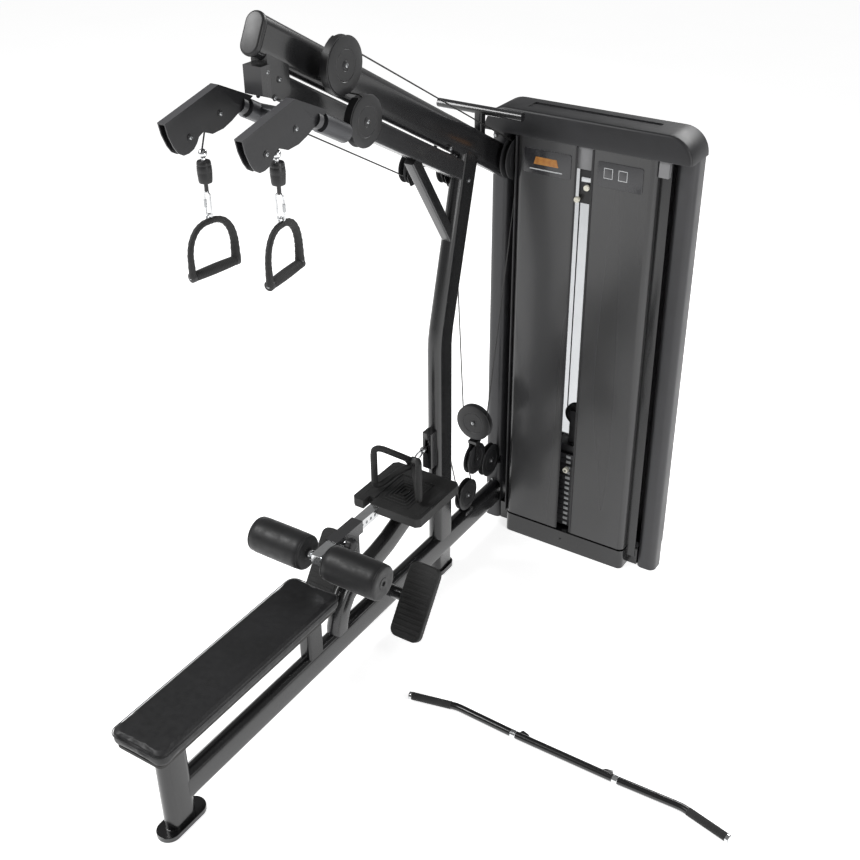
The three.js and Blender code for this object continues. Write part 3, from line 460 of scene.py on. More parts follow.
def dress(finish, *names, edge=1.2):
    for name in names:
        node = NODES[name]
        node.data.materials.clear()
        node.data.materials.append(finish)
        first = node.modifiers.new("weld", "NODES")
        first.node_group = CLEAN
        if edge:
            rounder = node.modifiers.new("soft_edges", "BEVEL")
            rounder.width = edge * MM
            rounder.segments = 2
            rounder.limit_method = "ANGLE"
            rounder.angle_limit = math.radians(38)
            last = node.modifiers.new("shading", "NODES")
            last.node_group = CLEAN


dress(BLACK, "base_rail", "front_leg", "main_post", "top_boom", "pulley_beam", "beam_hanger",
      "curved_support", "tower_base", "row_pulley_box", "floating_block")
dress(NYLON, "boom_cap", edge=0)
dress(HOUSING, "arm_housing_left", "arm_housing_right", edge=1.6)
dress(BEARING, "swivel_yoke")
dress(CHARCOAL, "left_column", "right_column", edge=3.0)
dress(COVER, "top_cover", edge=0)
dress(SMOKED, "shroud_left", "shroud_right", edge=1.0)
dress(CHARCOAL, "shroud_rear", edge=1.0)
dress(CHROME, "guide_rod_left", "guide_rod_right", "roller_carriage", edge=0.8)
dress(ENAMEL, "weight_plates", "lifted_plates", edge=1.0)
dress(TREAD, "handle_tray", "footplate_left", "footplate_right", edge=2.0)
dress(BOARD, "seat_board", edge=1.5)


# ---- pulleys ----

X = (1, 0, 0)
Y = (0, 1, 0)
Z = (0, 0, 1)
FORWARD = (0, -1, 0)
SIDES = (("left", -1), ("right", 1))
ARM_X = 131.5
ARM_BOLT_OUT = 14.2

# node: axis, centre, rim radius, groove radius, width, then the bolt's body, side and size
PULLEYS = {
    "boom_upper_pulley": (X, (92, -652, 2235), 82, 50, 28, "frame", 1, 9),
    "boom_lower_pulley": (X, (ARM_X, -613, 2072), 77, 50, 28, "frame", 1, 9),
    "tower_pulley": (X, (64, 408, 1654), 77, 50, 28, "frame", 1, 9),
    "guide_pulley": (X, (-128, 9, 1701), 54, 32, 26, "frame", -1, 7),
    "rear_guide_pulley": (X, (-58, 142, 1672), 54, 40, 26, "frame", -1, 7),
    "row_pulley": (X, (0, 6, 604), 50, 38, 22, "frame", 1, 4),
    "low_pulley": (X, (12, 180, 272), 68, 50, 26, "frame", 1, 9),
    "column_pulley": (X, (12, 366, 340), 72, 50, 26, "frame", 1, 9),
    "float_upper_pulley": (Y, (12, 245, 588), 77, 50, 28, "floating_block", -1, 9),
    "float_lower_pulley": (X, (12, 245, 415), 68, 48, 26, "floating_block", 1, 9),
    "stack_pulley": (Y, (356, 476, 615.2), 50, 40, 18, "stack", -1, 7),
}
for side, sign in SIDES:
    for place, (y, z) in (("rear", (-939, 2139)), ("front", (-1066, 2106))):
        node = "arm_%s_pulley_%s" % (place, side)
        PULLEYS[node] = (X, (sign * ARM_X, y, z), 40, 34, 18, "arm_" + side, 1, 4)


def pulley(node):
    axis, centre, rim, groove, width, bolt_body, bolt_side, bolt_size = PULLEYS[node]
    half = width / 2
    inner = groove - 7
    near = [
        (0, half - 0.4), (13, half - 0.4), (14, half - 1.6), (16, half - 1.6), (17, half - 0.8),
        (inner, half - 0.6), (inner + 1, half - 1.2), (inner + 3, half - 1.2), (inner + 4, half - 0.3),
        (rim - 3, half), (rim - 0.8, half - 0.9), (rim, half - 2.6),
        (groove + 4, 4.6), (groove + 0.8, 3.0), (groove, 1.2),
    ]
    profile = [*[(radius, -height) for radius, height in near], *reversed(near)]
    wheel = lathe(node + "_wheel", profile, axis, centre, NYLON, node, 72, 30)
    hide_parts(node)
    way = Vector(axis) * bolt_side
    face = Vector(centre) + Vector(axis) * (half - 1) * bolt_side
    bolt(node + "_bolt", way, face, bolt_body, bolt_size)


def arm_pulleys(side, sign):
    """An arm's two pulleys, with bolt heads on both of its faces."""
    for place in ("rear", "front"):
        pulley("arm_%s_pulley_%s" % (place, side))
    for face in (-1, 1):
        tag = side + ("_in" if face != sign else "_out")
        for place in ("rear", "front"):
            x, y, z = PULLEYS["arm_%s_pulley_%s" % (place, side)][1]
            on_face = (x + face * ARM_BOLT_OUT, y, z)
            bolt("arm_%s_bolt_%s" % (place, tag), (face, 0, 0), on_face, "arm_" + side, 8)


for node in PULLEYS:
    if not node.startswith("arm_"):
        pulley(node)
for side, sign in SIDES:
    arm_pulleys(side, sign)


# ---- seat cushion ----

SEAM_DROP = 0.013


def cushion():
    inset = 0.004
    corner_radius = 0.034
    rim_radius = 0.009
    voxel = 0.006
    low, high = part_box("seat_pad")
    shape = bmesh.new()
    bmesh.ops.create_cube(shape, size=1.0)
    bmesh.ops.scale(shape, verts=shape.verts, vec=[width - 2 * inset for width in high - low])
    bmesh.ops.translate(shape, verts=shape.verts, vec=(low + high) / 2)
    upright_edges = [e for e in shape.edges if abs((e.verts[0].co - e.verts[1].co).z) > 0.01]
    bmesh.ops.bevel(shape, geom=upright_edges, offset=corner_radius, segments=6, profile=0.5, affect="EDGES")
    rims = [e for e in shape.edges if e.calc_face_angle(0) > 0.6]
    bmesh.ops.bevel(shape, geom=rims, offset=rim_radius, segments=3, profile=0.5, affect="EDGES",
                    clamp_overlap=True)
    made = finish_mesh("seat_cushion", shape, VINYL, "frame", angle=180)
    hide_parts("seat_pad")
    remesh = made.modifiers.new("voxels", "REMESH")
    remesh.mode = "VOXEL"
    remesh.voxel_size = voxel
    remesh.use_smooth_shade = True
    apply_all(made)
    rest = [v.co.copy() for v in made.data.vertices]
    puff(made, rest, low.z, 0.006)
    thread = made.modifiers.new("finer", "SUBSURF")
    thread.levels = thread.render_levels = 1
    apply_all(made)
    pressed_seams(made, low, high)
    made.data.shade_smooth()


def apply_all(made):
    bpy.context.view_layer.update()
    shot = made.evaluated_get(bpy.context.evaluated_depsgraph_get())
    data = bpy.data.meshes.new_from_object(shot)
    made.modifiers.clear()
    made.data = data


def puff(made, rest, floor, cap):
    """Fills the cushion with air, and holds every point within cap of its rest place and above the floor."""
    frames = 14
    cloth = made.modifiers.new("air", "CLOTH")
    cloth.settings.use_pressure = True
    cloth.settings.uniform_pressure_force = 4
    cloth.settings.quality = 4
    cloth.settings.effector_weights.gravity = 0
    for at in range(1, frames + 1):
        scene.frame_set(at)
    apply_all(made)
    scene.frame_set(1)
    for vertex, home in zip(made.data.vertices, rest):
        move = vertex.co - home
        if move.length > cap:
            move *= cap / move.length
        vertex.co = home + move
        vertex.co.z = max(vertex.co.z, floor)


def pressed_seams(made, low, high):
    """Presses a sewn line in round the side, and brings every point inside the pad's box."""
    side_band = 0.016
    depth, spread = 0.0022, 0.0028
    end_reach = 0.06
    seam = high.z - SEAM_DROP
    for vertex in made.data.vertices:
        at = vertex.co
        inside = min(at.x - low.x, high.x - at.x, at.y - low.y, high.y - at.y)
        if inside < side_band:
            pull = depth * math.exp(-((at.z - seam) / spread) ** 2)
            along = min(max(at.y, low.y + end_reach), high.y - end_reach)
            centre = Vector(((low.x + high.x) / 2, along, at.z))
            at += (centre - at).normalized() * pull
        at.x = min(max(at.x, low.x), high.x)
        at.y = min(max(at.y, low.y), high.y)
        at.z = min(max(at.z, low.z), high.z)


cushion()


def piping():
    low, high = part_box("seat_pad")
    x, y, r = 109.5, 448.5, 32
    mid = (low.y + high.y) / 2 / MM
    height = high.z / MM - SEAM_DROP / MM
    points = []
    for quarter, (u, v) in enumerate(((1, 1), (-1, 1), (-1, -1), (1, -1))):
        for k in range(9):
            t = math.radians(90 * quarter + k * 90 / 8)
            points.append((u * (x - r) + r * math.cos(t), mid + v * (y - r) + r * math.sin(t), height))
    tube("seat_piping", points, 1.5, VINYL, "frame", 8, closed=True)


piping()


# ---- rollers ----

ROLLER_Y, ROLLER_Z = -787, 561


def foam_roller(side, sign):
    length, inner = 230, 44
    axis = (sign, 0, 0)
    near = [(9.6, 1), (22, 1), (23, 2.5), (30, 2.5), (48, 1.2), (57, 2.0), (61.5, 4.5), (64, 9), (64.2, 10.6),
            (63.2, 12), (64.4, 13.6), (65.6, 30), (66, 80)]
    profile = [*near, *[(radius, length - height) for radius, height in reversed(near)]]
    made = lathe("roller_foam_" + side, profile, axis, (sign * inner, ROLLER_Y, ROLLER_Z), VINYL,
                 "roller_" + side, 72, 50)
    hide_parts("roller_" + side)
    washer = [(0, 0), (17, 0), (17, 2.4), (13, 3), (13, 4), (0, 4)]
    washer_at = (sign * (inner + length - 12), ROLLER_Y, ROLLER_Z)
    lathe("roller_washer_" + side, washer, axis, washer_at, CHROME, "roller_carriage", 32)
    collar = [(9.2, 0), (16, 0), (17, 1.5), (17, 14), (16, 15), (9.2, 15)]
    collar_at = (sign * 27, ROLLER_Y, ROLLER_Z)
    lathe("roller_collar_" + side, collar, axis, collar_at, CHROME, "roller_carriage", 32)


for side, sign in SIDES:
    foam_roller(side, sign)


# ---- pull handles and cable ends ----

BALL_RADIUS = 13
BALL_Y = -1009
GRIP_DROP = 344
HANDLE_TURN = math.radians(8)


def ball_height(sign):
    return 2066 + 22 * sign


def hang(sign):
    """Takes a point measured from a cable ball, in its handle's axes, to its place on the machine."""
    turn = Matrix.Rotation(HANDLE_TURN * sign, 4, "Z")
    ball = Vector((sign * ARM_X, BALL_Y, ball_height(sign)))
    return lambda p: tuple(ball + turn @ Vector(p))


def pull_handle(side, sign):
    at = hang(sign)
    body = "handle_frame_" + side
    spin = Matrix.Rotation(HANDLE_TURN * sign, 3, "Z")
    rise = [(82, -GRIP_DROP), (82, -300), (81, -274), (72, -240), (52, -213), (26, -200)]
    arch = [*[(0, -y, z) for y, z in rise], (0, 0, -198), *[(0, y, z) for y, z in reversed(rise)]]
    line = smooth_line(arch, 6)
    last = len(line) - 1
    radii = [9.0 + 0.4 * math.sin(k * 1.9) + 2.2 * abs(2 * k / last - 1) ** 6 for k in range(last + 1)]
    made = tube("handle_strap_" + side, [at(p) for p in line], radii, STRAP, body, 18, flat=1.35)
    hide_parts(body)
    eyelet = [(0, 0), (13, 0), (15, 1.5), (15, 13), (13, 14.5), (0, 14.5)]
    for end in (-1, 1):
        axis = spin @ Vector((0, end, 0))
        tag = "%s_%d" % (side, end + 1)
        lathe("handle_boss_" + tag, eyelet, axis, at((0, end * 75.0, -GRIP_DROP)), NYLON, body, 28)
        bolt("handle_bolt_" + tag, axis, at((0, end * 89.0, -GRIP_DROP)), body, 6.4)
    turns = [k * math.pi / 12 for k in range(24)]
    ring = [at((0, 9.5 * math.cos(t), -186.5 + 9.5 * math.sin(t))) for t in turns]
    tube("handle_eye_" + side, ring, 3.2, STEEL, body, 12, closed=True)
    grip = [(0, -74)]
    for k in range(25):
        y = -72 + k * 6
        swell = 15.2 - 1.6 * ((y / 74) ** 2)
        grip += [(swell, y - 1.9), (swell + 0.7, y - 1.0), (swell + 0.7, y + 1.0), (swell, y + 1.9)]
    grip += [(0, 74)]
    made = lathe("handle_grip_cover_" + side, grip, spin @ Vector(Y), at((0, 0, -GRIP_DROP)), GRIP,
                 "handle_grip_" + side, 36)
    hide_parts("handle_grip_" + side)


def cable_end(side, sign):
    at = hang(sign)
    body = "cable_end_" + side
    turns = [k * math.pi / 14 for k in range(1, 13)]
    ball = [(0, BALL_RADIUS), *[(BALL_RADIUS * math.sin(t), BALL_RADIUS * math.cos(t)) for t in turns]]
    ball += [(6, -13), (6, -21), (0, -21)]
    made = lathe("cable_ball_" + side, ball, Z, at((0, 0, 0)), CHROME, body, 36, 60)
    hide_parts(body)
    bumper = [(0, -20), (15, -20), (18.5, -21.5), (20, -25), (20.6, -31), (20, -33), (20.8, -35),
              (21.8, -50), (21, -52), (21.4, -54), (19.8, -78), (18.6, -83), (14, -85), (8, -86),
              (6, -90), (6, -108), (4, -112), (0, -112)]
    lathe("cable_stop_" + side, bumper, Z, at((0, 0, 0)), NYLON, body, 40)
    wide, middle = 11.5, -148
    loop = []
    for k in range(32):
        t = 2 * math.pi * k / 32
        lift = 28 if math.sin(t) > 0 else -28
        loop.append((wide * math.cos(t), 0, middle + lift + wide * math.sin(t)))
    tube("carabiner_" + side, [at(p) for p in loop], 2.9, CHROME, body, 14, closed=True)
    sleeve = [(3.1, -12), (4.6, -11), (4.6, 11), (3.1, 12)]
    lathe("carabiner_gate_" + side, sleeve, Z, at((sign * wide, 0, middle)), STEEL, body, 20)


for side, sign in SIDES:
    pull_handle(side, sign)
    cable_end(side, sign)


# ---- pin, knob and selector ----

def knob():
    x, y, z = 20, -671, 561
    barrel = [(5, 4), (13, 4), (14, 5), (14, 13), (13, 14), (5, 14)]
    made = lathe("pop_pin_barrel", barrel, X, (x, y, z), CHROME, "pop_pin", 32)
    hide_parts("pop_pin")
    lathe("pop_pin_tip", [(0, 0), (4, 0), (4.6, 0.8), (4.6, 6), (0, 6)], X, (x, y, z), BRASS, "pop_pin", 24)
    shape = bmesh.new()
    levels = [(13, 13), (15, 15), (20, 17), (25.2, 21), (26.6, 27), (26.6, 39), (25.2, 45), (20, 49.3),
              (8, 50)]
    sides = 70
    rings = []
    for radius, height in levels:
        ring = []
        for k in range(sides):
            t = 2 * math.pi * k / sides
            r = radius * (1 - 0.07 * (radius / 27) * (1 - math.cos(7 * t)) / 2)
            ring.append(shape.verts.new(circle_point(r, t, height)))
        rings.append(ring)
    skin(shape, rings)
    shape.transform(turned(X, (x, y, z)))
    finish_mesh("pop_pin_knob", shape, NYLON, "pop_pin", angle=50)


def selector():
    low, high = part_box("selector_pin")
    place = ((low.x + high.x) / 2 / MM, 453, (low.z + high.z) / 2 / MM)
    shank = [(0, -30), (4.4, -29), (4.8, -27), (4.8, 60), (0, 60)]
    made = lathe("selector_shank", shank, FORWARD, place, CHROME, "selector_pin", 24)
    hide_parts("selector_pin")
    head = [(0, 42), (9, 42), (11.6, 44), (11.6, 47), (8, 50), (8, 53), (11, 56), (11.6, 58), (9, 60),
            (0, 60)]
    lathe("selector_knob", head, FORWARD, place, CREAM, "selector_pin", 32)


knob()
selector()


# ---- row handle ----

def row_side(side, sign):
    """One side of the row handle: bent bar, grip and the two webs at the middle."""
    path = [(0, -188, 630), (40, -234, 670), (80, -280, 708), (96, -299, 711), (100, -305, 694),
            (100, -305, 632), (100, -305, 570), (96, -299, 553), (80, -280, 556), (40, -234, 594),
            (0, -188, 614)]
    line = smooth_line([(sign * x, y, z) for x, y, z in path], 8)
    bar = tube("row_bar_" + side, line, 12.2, TREAD, "row_handle", 20)
    grip = [(0, -60)]
    for k in range(21):
        z = -58 + k * 5.8
        grip += [(12.6, z - 1.9), (13.2, z - 1.0), (13.2, z + 1.0), (12.6, z + 1.9)]
    grip += [(0, 60)]
    lathe("row_grip_" + side, grip, Z, (sign * 100, -305, 632), GRIP, "row_handle", 32)
    web = [(0, 0), (30, 0), (4, 26), (0, 26)]
    for name, half in (("top", 1), ("bottom", -1)):
        way = Vector((sign * 0.62, -0.73, 0.28 * half)).normalized()
        across = Vector((0, 0, -half))
        normal = way.cross(across).normalized()
        across = normal.cross(way)
        turn = Matrix((way, across, normal)).transposed().to_4x4()
        place = Matrix.Translation(Vector((sign * 6, -195, 622 + 14 * half)) * MM) @ turn
        plate("row_web_%s_%s" % (side, name), web, 4, place, NYLON, "row_handle", 0.6)
    return bar


def row_handle():
    bars = [row_side(side, sign) for side, sign in SIDES]
    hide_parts("row_handle")
    box("row_knuckle", (-13, -202, 600), (13, -176, 644), NYLON, "row_handle", 4)
    link = [(0, -178, 624), (9, -160, 634), (7, -140, 642), (0, -126, 646), (-7, -140, 642), (-9, -160, 634)]
    tube("row_carabiner", smooth_line([*link, link[0]], 6)[:-1], 3.4, CHROME, "row_handle", 14, closed=True)
    swivel = [(0, 0), (7, 0), (11, 3), (12, 8), (12, 18), (9, 24), (5, 26), (0, 26)]
    lathe("row_swivel", swivel, Y, (0, -134, 646), CHROME, "row_handle", 28)


row_handle()


# ---- loose pulldown bar ----

def lat_bar():
    start, y, z = 315, -676, 15.5
    collars = (412.8, 801.2)
    bends = [(0, 18), (178, -4.2), *[(x, 0) for x in collars], (1036, -4.2), (1214, 18)]
    points = [(start + x, y - offset * 1.9, z) for x, offset in bends]
    line = []
    for a, b in zip(points, points[1:]):
        a, b = Vector(a), Vector(b)
        line += [tuple(a.lerp(b, t)) for t in (0.06, 0.3, 0.5, 0.7, 0.94)]
    line = [points[0], *line, points[-1]]
    made = tube("lat_bar_tube", smooth_line(line, 5), 13.6, BLACK, "lat_bar", 24)
    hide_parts("lat_bar")
    for side, (a, b) in (("left", (points[0], points[1])), ("right", (points[-1], points[-2]))):
        a, b = Vector(a), Vector(b)
        way = (b - a).normalized()
        grip = [(0, 6)]
        reach = int((b - a).length * 0.86 / 7)
        for k in range(reach):
            t = 10 + k * 7
            grip += [(14.0, t - 2.4), (14.6, t - 1.4), (14.6, t + 1.4), (14.0, t + 2.4)]
        grip += [(0, 12 + reach * 7)]
        lathe("lat_bar_grip_" + side, grip, way, a, GRIP, "lat_bar", 32)
        cap = [(0, -1), (11, -1), (14.0, 1), (14.7, 3), (14.7, 11), (13.8, 12), (0, 12)]
        lathe("lat_bar_cap_" + side, cap, way, a, CHROME, "lat_bar", 32)
    for index, x in enumerate(collars):
        collar = [(13.4, -10), (14.7, -9), (14.7, 9), (13.4, 10)]
        lathe("lat_bar_collar_%d" % index, collar, X, (start + x, y, z), CHROME, "lat_bar", 32)
        sign = 1 if index else -1
        gusset = [(0, 9), (-46 * sign, 9), (-30 * sign, 24), (-6 * sign, 30), (6 * sign, 9)]
        place = facing("z", (start + x - sign * 16, y, z))
        plate("lat_bar_gusset_%d" % index, gusset, 5, place, BLACK, "lat_bar", 1)


lat_bar()


# ---- cables: each run rides the body it lies on, and a free strand stretches between two bodies ----

WIRE_RADIUS = 2.5
SWIVEL_SLOPE = math.tan(math.radians(28.7))
WIRE_GAP = 0.6
RIM_GAP = 4


def stop(x, y, z):
    """Point on a route."""
    return {"x": x, "at": Vector((y, z)), "r": 0, "turn": 0, "lead": 0}


def past(node, turn, rim=None):
    """Pulley that a route passes: turn is 1 anticlockwise and -1 clockwise in the YZ plane.

    The run that lies on it goes on just past its rim, or past a smaller radius given as rim.
    """
    (x, y, z), wheel_rim, groove = PULLEYS[node][1:4]
    radius = groove + WIRE_RADIUS + WIRE_GAP
    lead = math.sqrt(((rim or wheel_rim) + RIM_GAP) ** 2 - radius ** 2)
    return {"x": x, "at": Vector((y, z)), "r": radius, "turn": turn, "lead": lead}


def touching(a, b):
    """Unit normal, on the left, of the straight line that touches two stops."""
    gap = b["at"] - a["at"]
    offset = b["turn"] * b["r"] - a["turn"] * a["r"]
    angle = math.atan2(gap.y, gap.x) - math.atan2(offset, math.sqrt(gap.length_squared - offset * offset))
    return Vector((-math.sin(angle), math.cos(angle)))


def reeve(stops):
    """Points of a cable past its stops, one list for each; it keeps to a pulley's plane beside the rim."""
    runs = []
    for k, here in enumerate(stops):
        x, turn = here["x"], here["turn"]
        if not turn:
            runs.append([Vector((x, *here["at"]))])
            continue
        arriving, leaving = (touching(*pair) * -turn for pair in ((stops[k - 1], here), (here, stops[k + 1])))
        start = math.atan2(arriving.y, arriving.x)
        swing = (math.atan2(leaving.y, leaving.x) - start) * turn % (2 * math.pi) * turn
        steps = max(2, math.ceil(abs(swing) / 0.2))
        turned_by = [start + swing * s / steps for s in range(steps + 1)]
        arc = [Vector((x, *(here["at"] + here["r"] * Vector((math.cos(t), math.sin(t)))))) for t in turned_by]
        away = here["lead"] * turn
        before = arc[0] + Vector((0, arriving.y, -arriving.x)) * away
        after = arc[-1] + Vector((0, -leaving.y, leaving.x)) * away
        runs.append([before, *arc, after])
    return runs


def run(name, points, body):
    return tube(name, points, WIRE_RADIUS, WIRE, body, 10)


def strand(name, fixed, moving):
    """Straight free cable from a fixed point to a point on the moving body; it is attached to no body."""
    made = run(name, [fixed.lerp(moving, k / 24) for k in range(25)], None)
    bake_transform(made)
    return made


def stands_for(piece, node):
    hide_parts(node)


def joined(runs):
    return [point for part in runs for point in part]


def pull_side(side, sign, wheels, foot):
    x = sign * ARM_X
    inlet, outlet = (stop(x, y, 2092.5 - SWIVEL_SLOPE * (y + 763)) for y in (-880, -702))
    top = stop(x, BALL_Y, ball_height(sign) + BALL_RADIUS)
    runs = reeve([top, past("arm_rear_pulley_" + side, -1), inlet, outlet, *wheels, foot])
    strand("cable_drop_" + side, runs[1][0], runs[0][0])
    run("cable_in_arm_" + side, joined(runs[1:4]), "arm_" + side)
    strand("cable_to_block_" + side, runs[-2][-1], runs[-1][0])
    return run("cable_on_frame_" + side, joined(runs[3:-1]), "frame")


def half_loop(name, wheel, radius, above, body):
    """Cable under a wheel that faces Y, and a short way up on both sides of it."""
    x, y, z = PULLEYS[wheel][1]
    turns = [math.pi + math.pi * k / 16 for k in range(17)]
    bend = [(x + radius * math.cos(t), y, z + radius * math.sin(t)) for t in turns]
    run(name, [(x - radius, y, z + above), *bend, (x + radius, y, z + above)], body)


def pull_cable():
    wheel = "float_upper_pulley"
    x, y, z = PULLEYS[wheel][1]
    radius, above = 53.5, 20
    left = [past("guide_pulley", 1), past("rear_guide_pulley", -1)]
    right = [past("boom_lower_pulley", 1), past("boom_upper_pulley", -1), past("tower_pulley", -1)]
    main = pull_side("left", -1, left, stop(x - radius, y, z + above))
    pull_side("right", 1, right, stop(x + radius, y, z + above))
    half_loop("cable_under_block", wheel, radius, above, "floating_block")
    stands_for(main, "pull_cable")


def row_cable():
    stops = [stop(0, -107, 646), past("row_pulley", -1), past("low_pulley", 1),
             past("float_lower_pulley", -1, 60), past("column_pulley", 1, 62), stop(12, 468, 300)]
    runs = reeve(stops)
    strand("row_strand_handle", runs[1][0], runs[0][0])
    strand("row_strand_front", runs[2][-1], runs[3][0])
    strand("row_strand_rear", runs[4][0], runs[3][-1])
    run("row_over_block", runs[3], "floating_block")
    run("row_to_column", joined(runs[4:]), "frame")
    stands_for(run("row_round_post", joined(runs[1:3]), "frame"), "row_cable")


def stack_cable():
    wheel = "stack_pulley"
    x, y, _ = PULLEYS[wheel][1]
    radius = 44
    hung = []
    for side, sign in SIDES:
        top, foot = (Vector((x + sign * radius, y, z)) for z in (1745, 640))
        hung.append(strand("stack_strand_" + side, top, foot))
    half_loop("stack_loop", wheel, radius, 25, "stack")
    stands_for(hung[0], "stack_cable")


pull_cable()
row_cable()
stack_cable()


# ---- bolts, guards, trims and covers on the frame ----

def pulley_guard(name, node, radius, start, end):
    """Curved keeper round a pulley's rim, between the places where the cable comes and goes."""
    turns = [math.radians(start + (end - start) * k / 14) for k in range(15)]
    rim = [(radius * math.cos(t), radius * math.sin(t)) for t in turns]
    shape = [*rim, *[(u * 0.955, v * 0.955) for u, v in reversed(rim)]]
    plate(name, shape, 24, facing("x", PULLEYS[node][1]), NYLON, "frame", 0.8)


def frame_details():
    for index, (y, z) in enumerate(((-900, 2282), (-852, 2252), (-876, 2208))):
        for face in (-1, 1):
            bolt("hanger_bolt_%d_%d" % (index, face + 1), (face, 0, 0), (face * 28, y, z - 20), "frame", 7.5)
    for face in (-1, 1):
        for index, (y, z) in enumerate(((26, 1790), (150, 1640))):
            bolt("post_bolt_%d_%d" % (index, face + 1), (face, 0, 0), (face * 29, y, z), "frame", 8.5)
    for index, z in enumerate((1715, 1655)):
        bolt("column_bolt_%d" % index, FORWARD, (-30, 442, z), "frame", 8)
        bolt("column_bolt_low_%d" % index, FORWARD, (-10, 442, 190 - 60 * index), "frame", 8)
    pulley_guard("upper_guard", "boom_upper_pulley", 87, 105, 268)
    pulley_guard("lower_guard", "boom_lower_pulley", 82.2, 114, 182)
    fin = [(-20, -60), (20, -60), (44, -20), (20, 34), (-20, 34), (-44, -20)]
    for name in ("guide", "rear_guide"):
        x, y, z = PULLEYS[name + "_pulley"][1]
        plate(name + "_guard", fin, 3, facing("x", (x + 17, y, z)), BLACK, "frame", 0.8)


FRONT = 384
SHEET_TOP = 1748


def placards():
    for side, (left, right) in (("left", (122, 314)), ("right", (418, 592))):
        middle = (left + right) / 2
        wide = (right - left) / 2
        sheet = [(-wide + 6, -46), (wide - 6, -46), (wide, -40), (wide, 40), (wide - 6, 46), (-wide + 6, 46),
                 (-wide, 40), (-wide, -40)]
        plate("placard_" + side, sheet, 2, facing("y", (middle, FRONT - 1.2, 1668)), PLACARD, "frame", 0.5)
    band = [(-50, -14), (50, -14), (42, 14), (-42, 14)]
    plate("placard_band", band, 1.2, facing("y", (214, FRONT - 2.6, 1672)), AMBER, "frame", 0.3)
    square = [(-17, -19), (17, -19), (17, 19), (-17, 19)]
    dark = [(u * 0.88, v * 0.88) for u, v in square]
    for index in range(2):
        outer, inner = (facing("y", (460 + index * 56, FRONT - proud, 1674)) for proud in (2.6, 3.2))
        plate("placard_square_%d" % index, square, 1.0, outer, PALE, "frame", 0.4)
        plate("placard_inner_%d" % index, dark, 1.0, inner, PLACARD, "frame", 0.3)
    line = [(-66, -2), (66, -2), (66, 2), (-66, 2)]
    plate("placard_line", line, 1.0, facing("y", (214, FRONT - 2.6, 1640)), PALE, "frame", 0.3)


def slot_details():
    """What shows in and beside the slot between the front sheets."""
    box("slot_plate", (333, 392, 1668), (399, 396, SHEET_TOP), MID, "frame", 1)
    box("slot_bracket", (342, 398, 1540), (394, 412, 1666), NYLON, "frame", 3)
    box("slot_lug", (352, 394, 1622), (392, 399, 1640), STEEL, "frame", 1.5)
    turned_knob = [(0, 0), (7, 0), (7, 5), (10, 7), (11, 10), (11, 17), (9.5, 20), (0, 21)]
    for index, (x, z) in enumerate(((380, 1606), (344, 1556))):
        lathe("slot_knob_%d" % index, turned_knob, FORWARD, (x, 396, z), CREAM, "frame", 32)
    for index, x in ((0, 334), (2, 398)):
        low, high = (x - 3.5, 380.5, 100), (x + 3.5, 384.2, SHEET_TOP)
        box("slot_trim_%d" % index, low, high, NYLON, "frame", 0.8)


def tower_edges():
    box("side_seam_left", (86, 384.5, 98), (90, 540, SHEET_TOP), NYLON, "frame", 0.6)
    box("side_seam_right", (640.4, 420, 60), (680.6, 427, SHEET_TOP), BLACK, "frame", 1)
    box("side_return_right", (640.4, 396, 1690), (678, 419.5, SHEET_TOP), MID, "frame", 1)
    box("base_end_cap", (640.8, 452, 86.4), (680.2, 536.4, 112), COVER, "frame", 1.5)
    pane = [(-95, -589), (95, -589), (95, 589), (-95, 589)]
    plate("rear_pane", pane, 2, facing("y", (356, 539, 1060)), PANE, "frame", 0.3)
    inset = [(-222, -26), (222, -26), (222, 26), (-222, 26)]
    plate("cover_panel", inset, 2, facing("z", (355.5, 463, 1838)), NYLON, "frame", 0.8)
    bolt("base_bolt", FORWARD, (356, FRONT, 48), "frame", 4, NYLON)


def stack_details():
    """A tag on each plate and above it a dark strip of painted shade for the gap between plates; the plates
    above the pin ride the stack.
    """
    plates, at_rest = 14, 11
    pitch, foot = 25.3, 96
    low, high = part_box("weight_plates")
    for index in range(plates):
        body = "stack" if index >= at_rest else "frame"
        z = foot + pitch * (index + 0.5)
        box("plate_tag_%d" % index, (346, 420.6, z - 6), (366, 423.8, z + 6), PALE, body, 1.2)
        # Painted shade: a dark strip along the top of each plate stands for the shaded gap to the next plate.
        box("plate_gap_shade_%d" % index, (low.x / MM + 2, 422.8, z + pitch / 2 - 1.2),
            (high.x / MM - 2, 424.2, z + pitch / 2 - 0.2), NYLON, body, 0.2)


def tread_ribs():
    """Raised bars across both footplates."""
    lean = math.atan2(240, 167)
    raised = Matrix.Translation((0, 0, 12.4 * MM))
    for side, sign in SIDES:
        place = Matrix.Translation(Vector((sign * 203, -491, 246)) * MM) @ Matrix.Rotation(lean, 4, "X")
        for index in range(13):
            v = -120 + index * 20
            half = 54 if abs(v) < 110 else 44
            rib = [(-half, v - 4), (half, v - 4), (half + 2, v), (half, v + 4), (-half, v + 4),
                   (-half - 2, v)]
            plate("tread_rib_%s_%d" % (side, index), rib, 4, place @ raised, TREAD, "frame", 1)


def tray_top():
    """Rising rectangular frames in the middle of the handle tray, and a rail along each side."""
    middle = -249
    for index in range(5):
        u, v = 70 - 14 * index, 88 - 16 * index
        strips = (("w", (-u, -u + 5, -v, v)), ("e", (u - 5, u, -v, v)), ("s", (-u, u, -v, -v + 5)),
                  ("n", (-u, u, v - 5, v)))
        for tag, (a, b, c, d) in strips:
            low, high = (a, middle + c, 518), (b, middle + d, 524.5 + index)
            box("tray_frame_%d_%s" % (index, tag), low, high, TREAD, "frame", 1.5)
    for index, x in enumerate((-128, 128)):
        box("tray_rail_%d" % index, (x - 10, -360, 526), (x + 10, -118, 530.5), TREAD, "frame", 2)


frame_details()
placards()
slot_details()
tower_edges()
stack_details()
tread_ribs()
tray_top()


# ---- floor, lights and camera ----

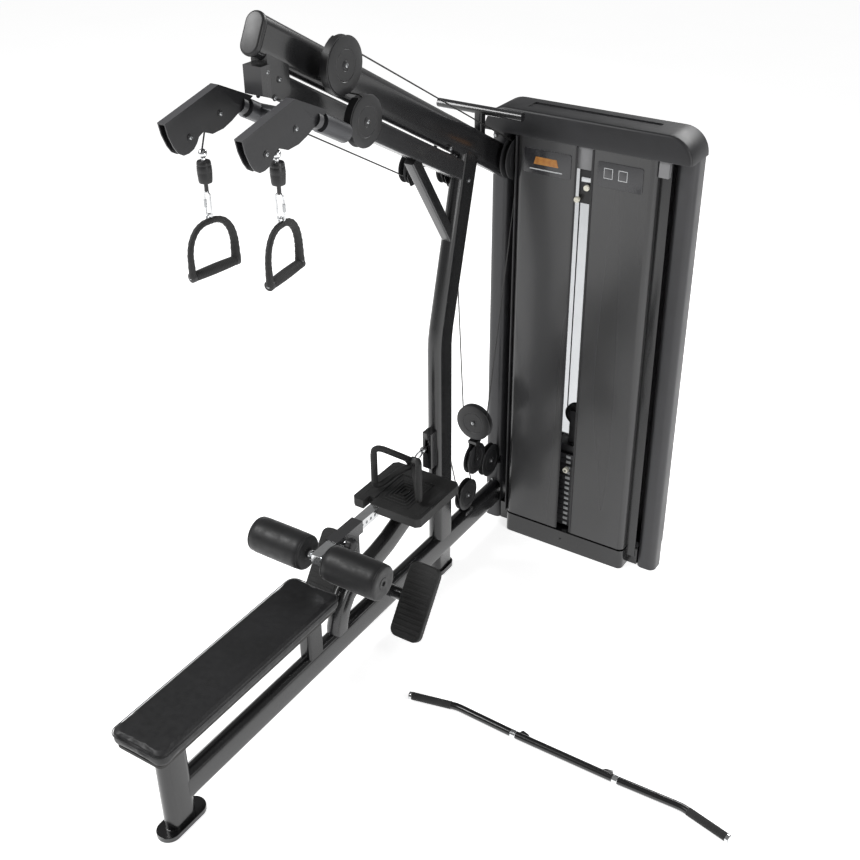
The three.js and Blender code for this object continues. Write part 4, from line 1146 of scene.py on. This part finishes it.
def floor():
    made, tree, shader, where = graph("pale_floor")
    haze = noise(tree, where, 1.5, 2)
    tree.links.new(ramp(tree, haze, [(0.3, 0.86), (0.7, 0.88)]), shader.inputs["Base Color"])
    shader.inputs["Emission Color"].default_value = (1, 1, 1, 1)
    shader.inputs["Emission Strength"].default_value = 0.74
    shader.inputs["Roughness"].default_value = 0.9
    shader.inputs["Specular IOR Level"].default_value = 0.1
    data = bpy.data.meshes.new("floor")
    size, height = 30, -0.001
    corners = [(-size, -size, height), (size, -size, height), (size, size, height), (-size, size, height)]
    data.from_pydata(corners, [], [(0, 1, 2, 3)])
    data.materials.append(made)
    plane = bpy.data.objects.new("floor", data)
    scene.collection.objects.link(plane)


def lamp(name, place, aim, size, power):
    data = bpy.data.lights.new(name, "AREA")
    data.shape = "RECTANGLE"
    data.size, data.size_y = size
    data.energy = power
    made = bpy.data.objects.new(name, data)
    made.location = place
    made.rotation_euler = (Vector(aim) - Vector(place)).to_track_quat("-Z", "Y").to_euler()
    scene.collection.objects.link(made)


def studio():
    world = bpy.data.worlds.new("studio")
    world.use_nodes = True
    sky = world.node_tree.nodes["Background"]
    sky.inputs["Color"].default_value = (1, 1, 1, 1)
    sky.inputs["Strength"].default_value = 0.24
    scene.world = world
    lamp("key", (-2.8, -3.0, 4.8), (0, -0.5, 0.9), (2.6, 1.8), 200)
    lamp("fill", (4.4, -1.4, 2.6), (0.3, 0, 1.0), (1.2, 3.2), 75)
    lamp("rim", (1.2, 3.8, 4.2), (0, -0.4, 1.3), (3.2, 1.0), 150)
    scene.view_settings.view_transform = "Standard"


def camera():
    data = bpy.data.cameras.new("camera")
    data.lens = 51.07
    data.sensor_width = 36
    made = bpy.data.objects.new("camera", data)
    look = (Matrix.Rotation(math.radians(32.877), 4, "Z") @ Matrix.Rotation(math.radians(58.615), 4, "X")
            @ Matrix.Rotation(math.radians(-0.472), 4, "Z"))
    made.matrix_world = Matrix.Translation((2.162, -3.416, 3.138)) @ look
    scene.collection.objects.link(made)
    scene.camera = made


floor()
studio()
camera()

bpy.context.view_layer.update()
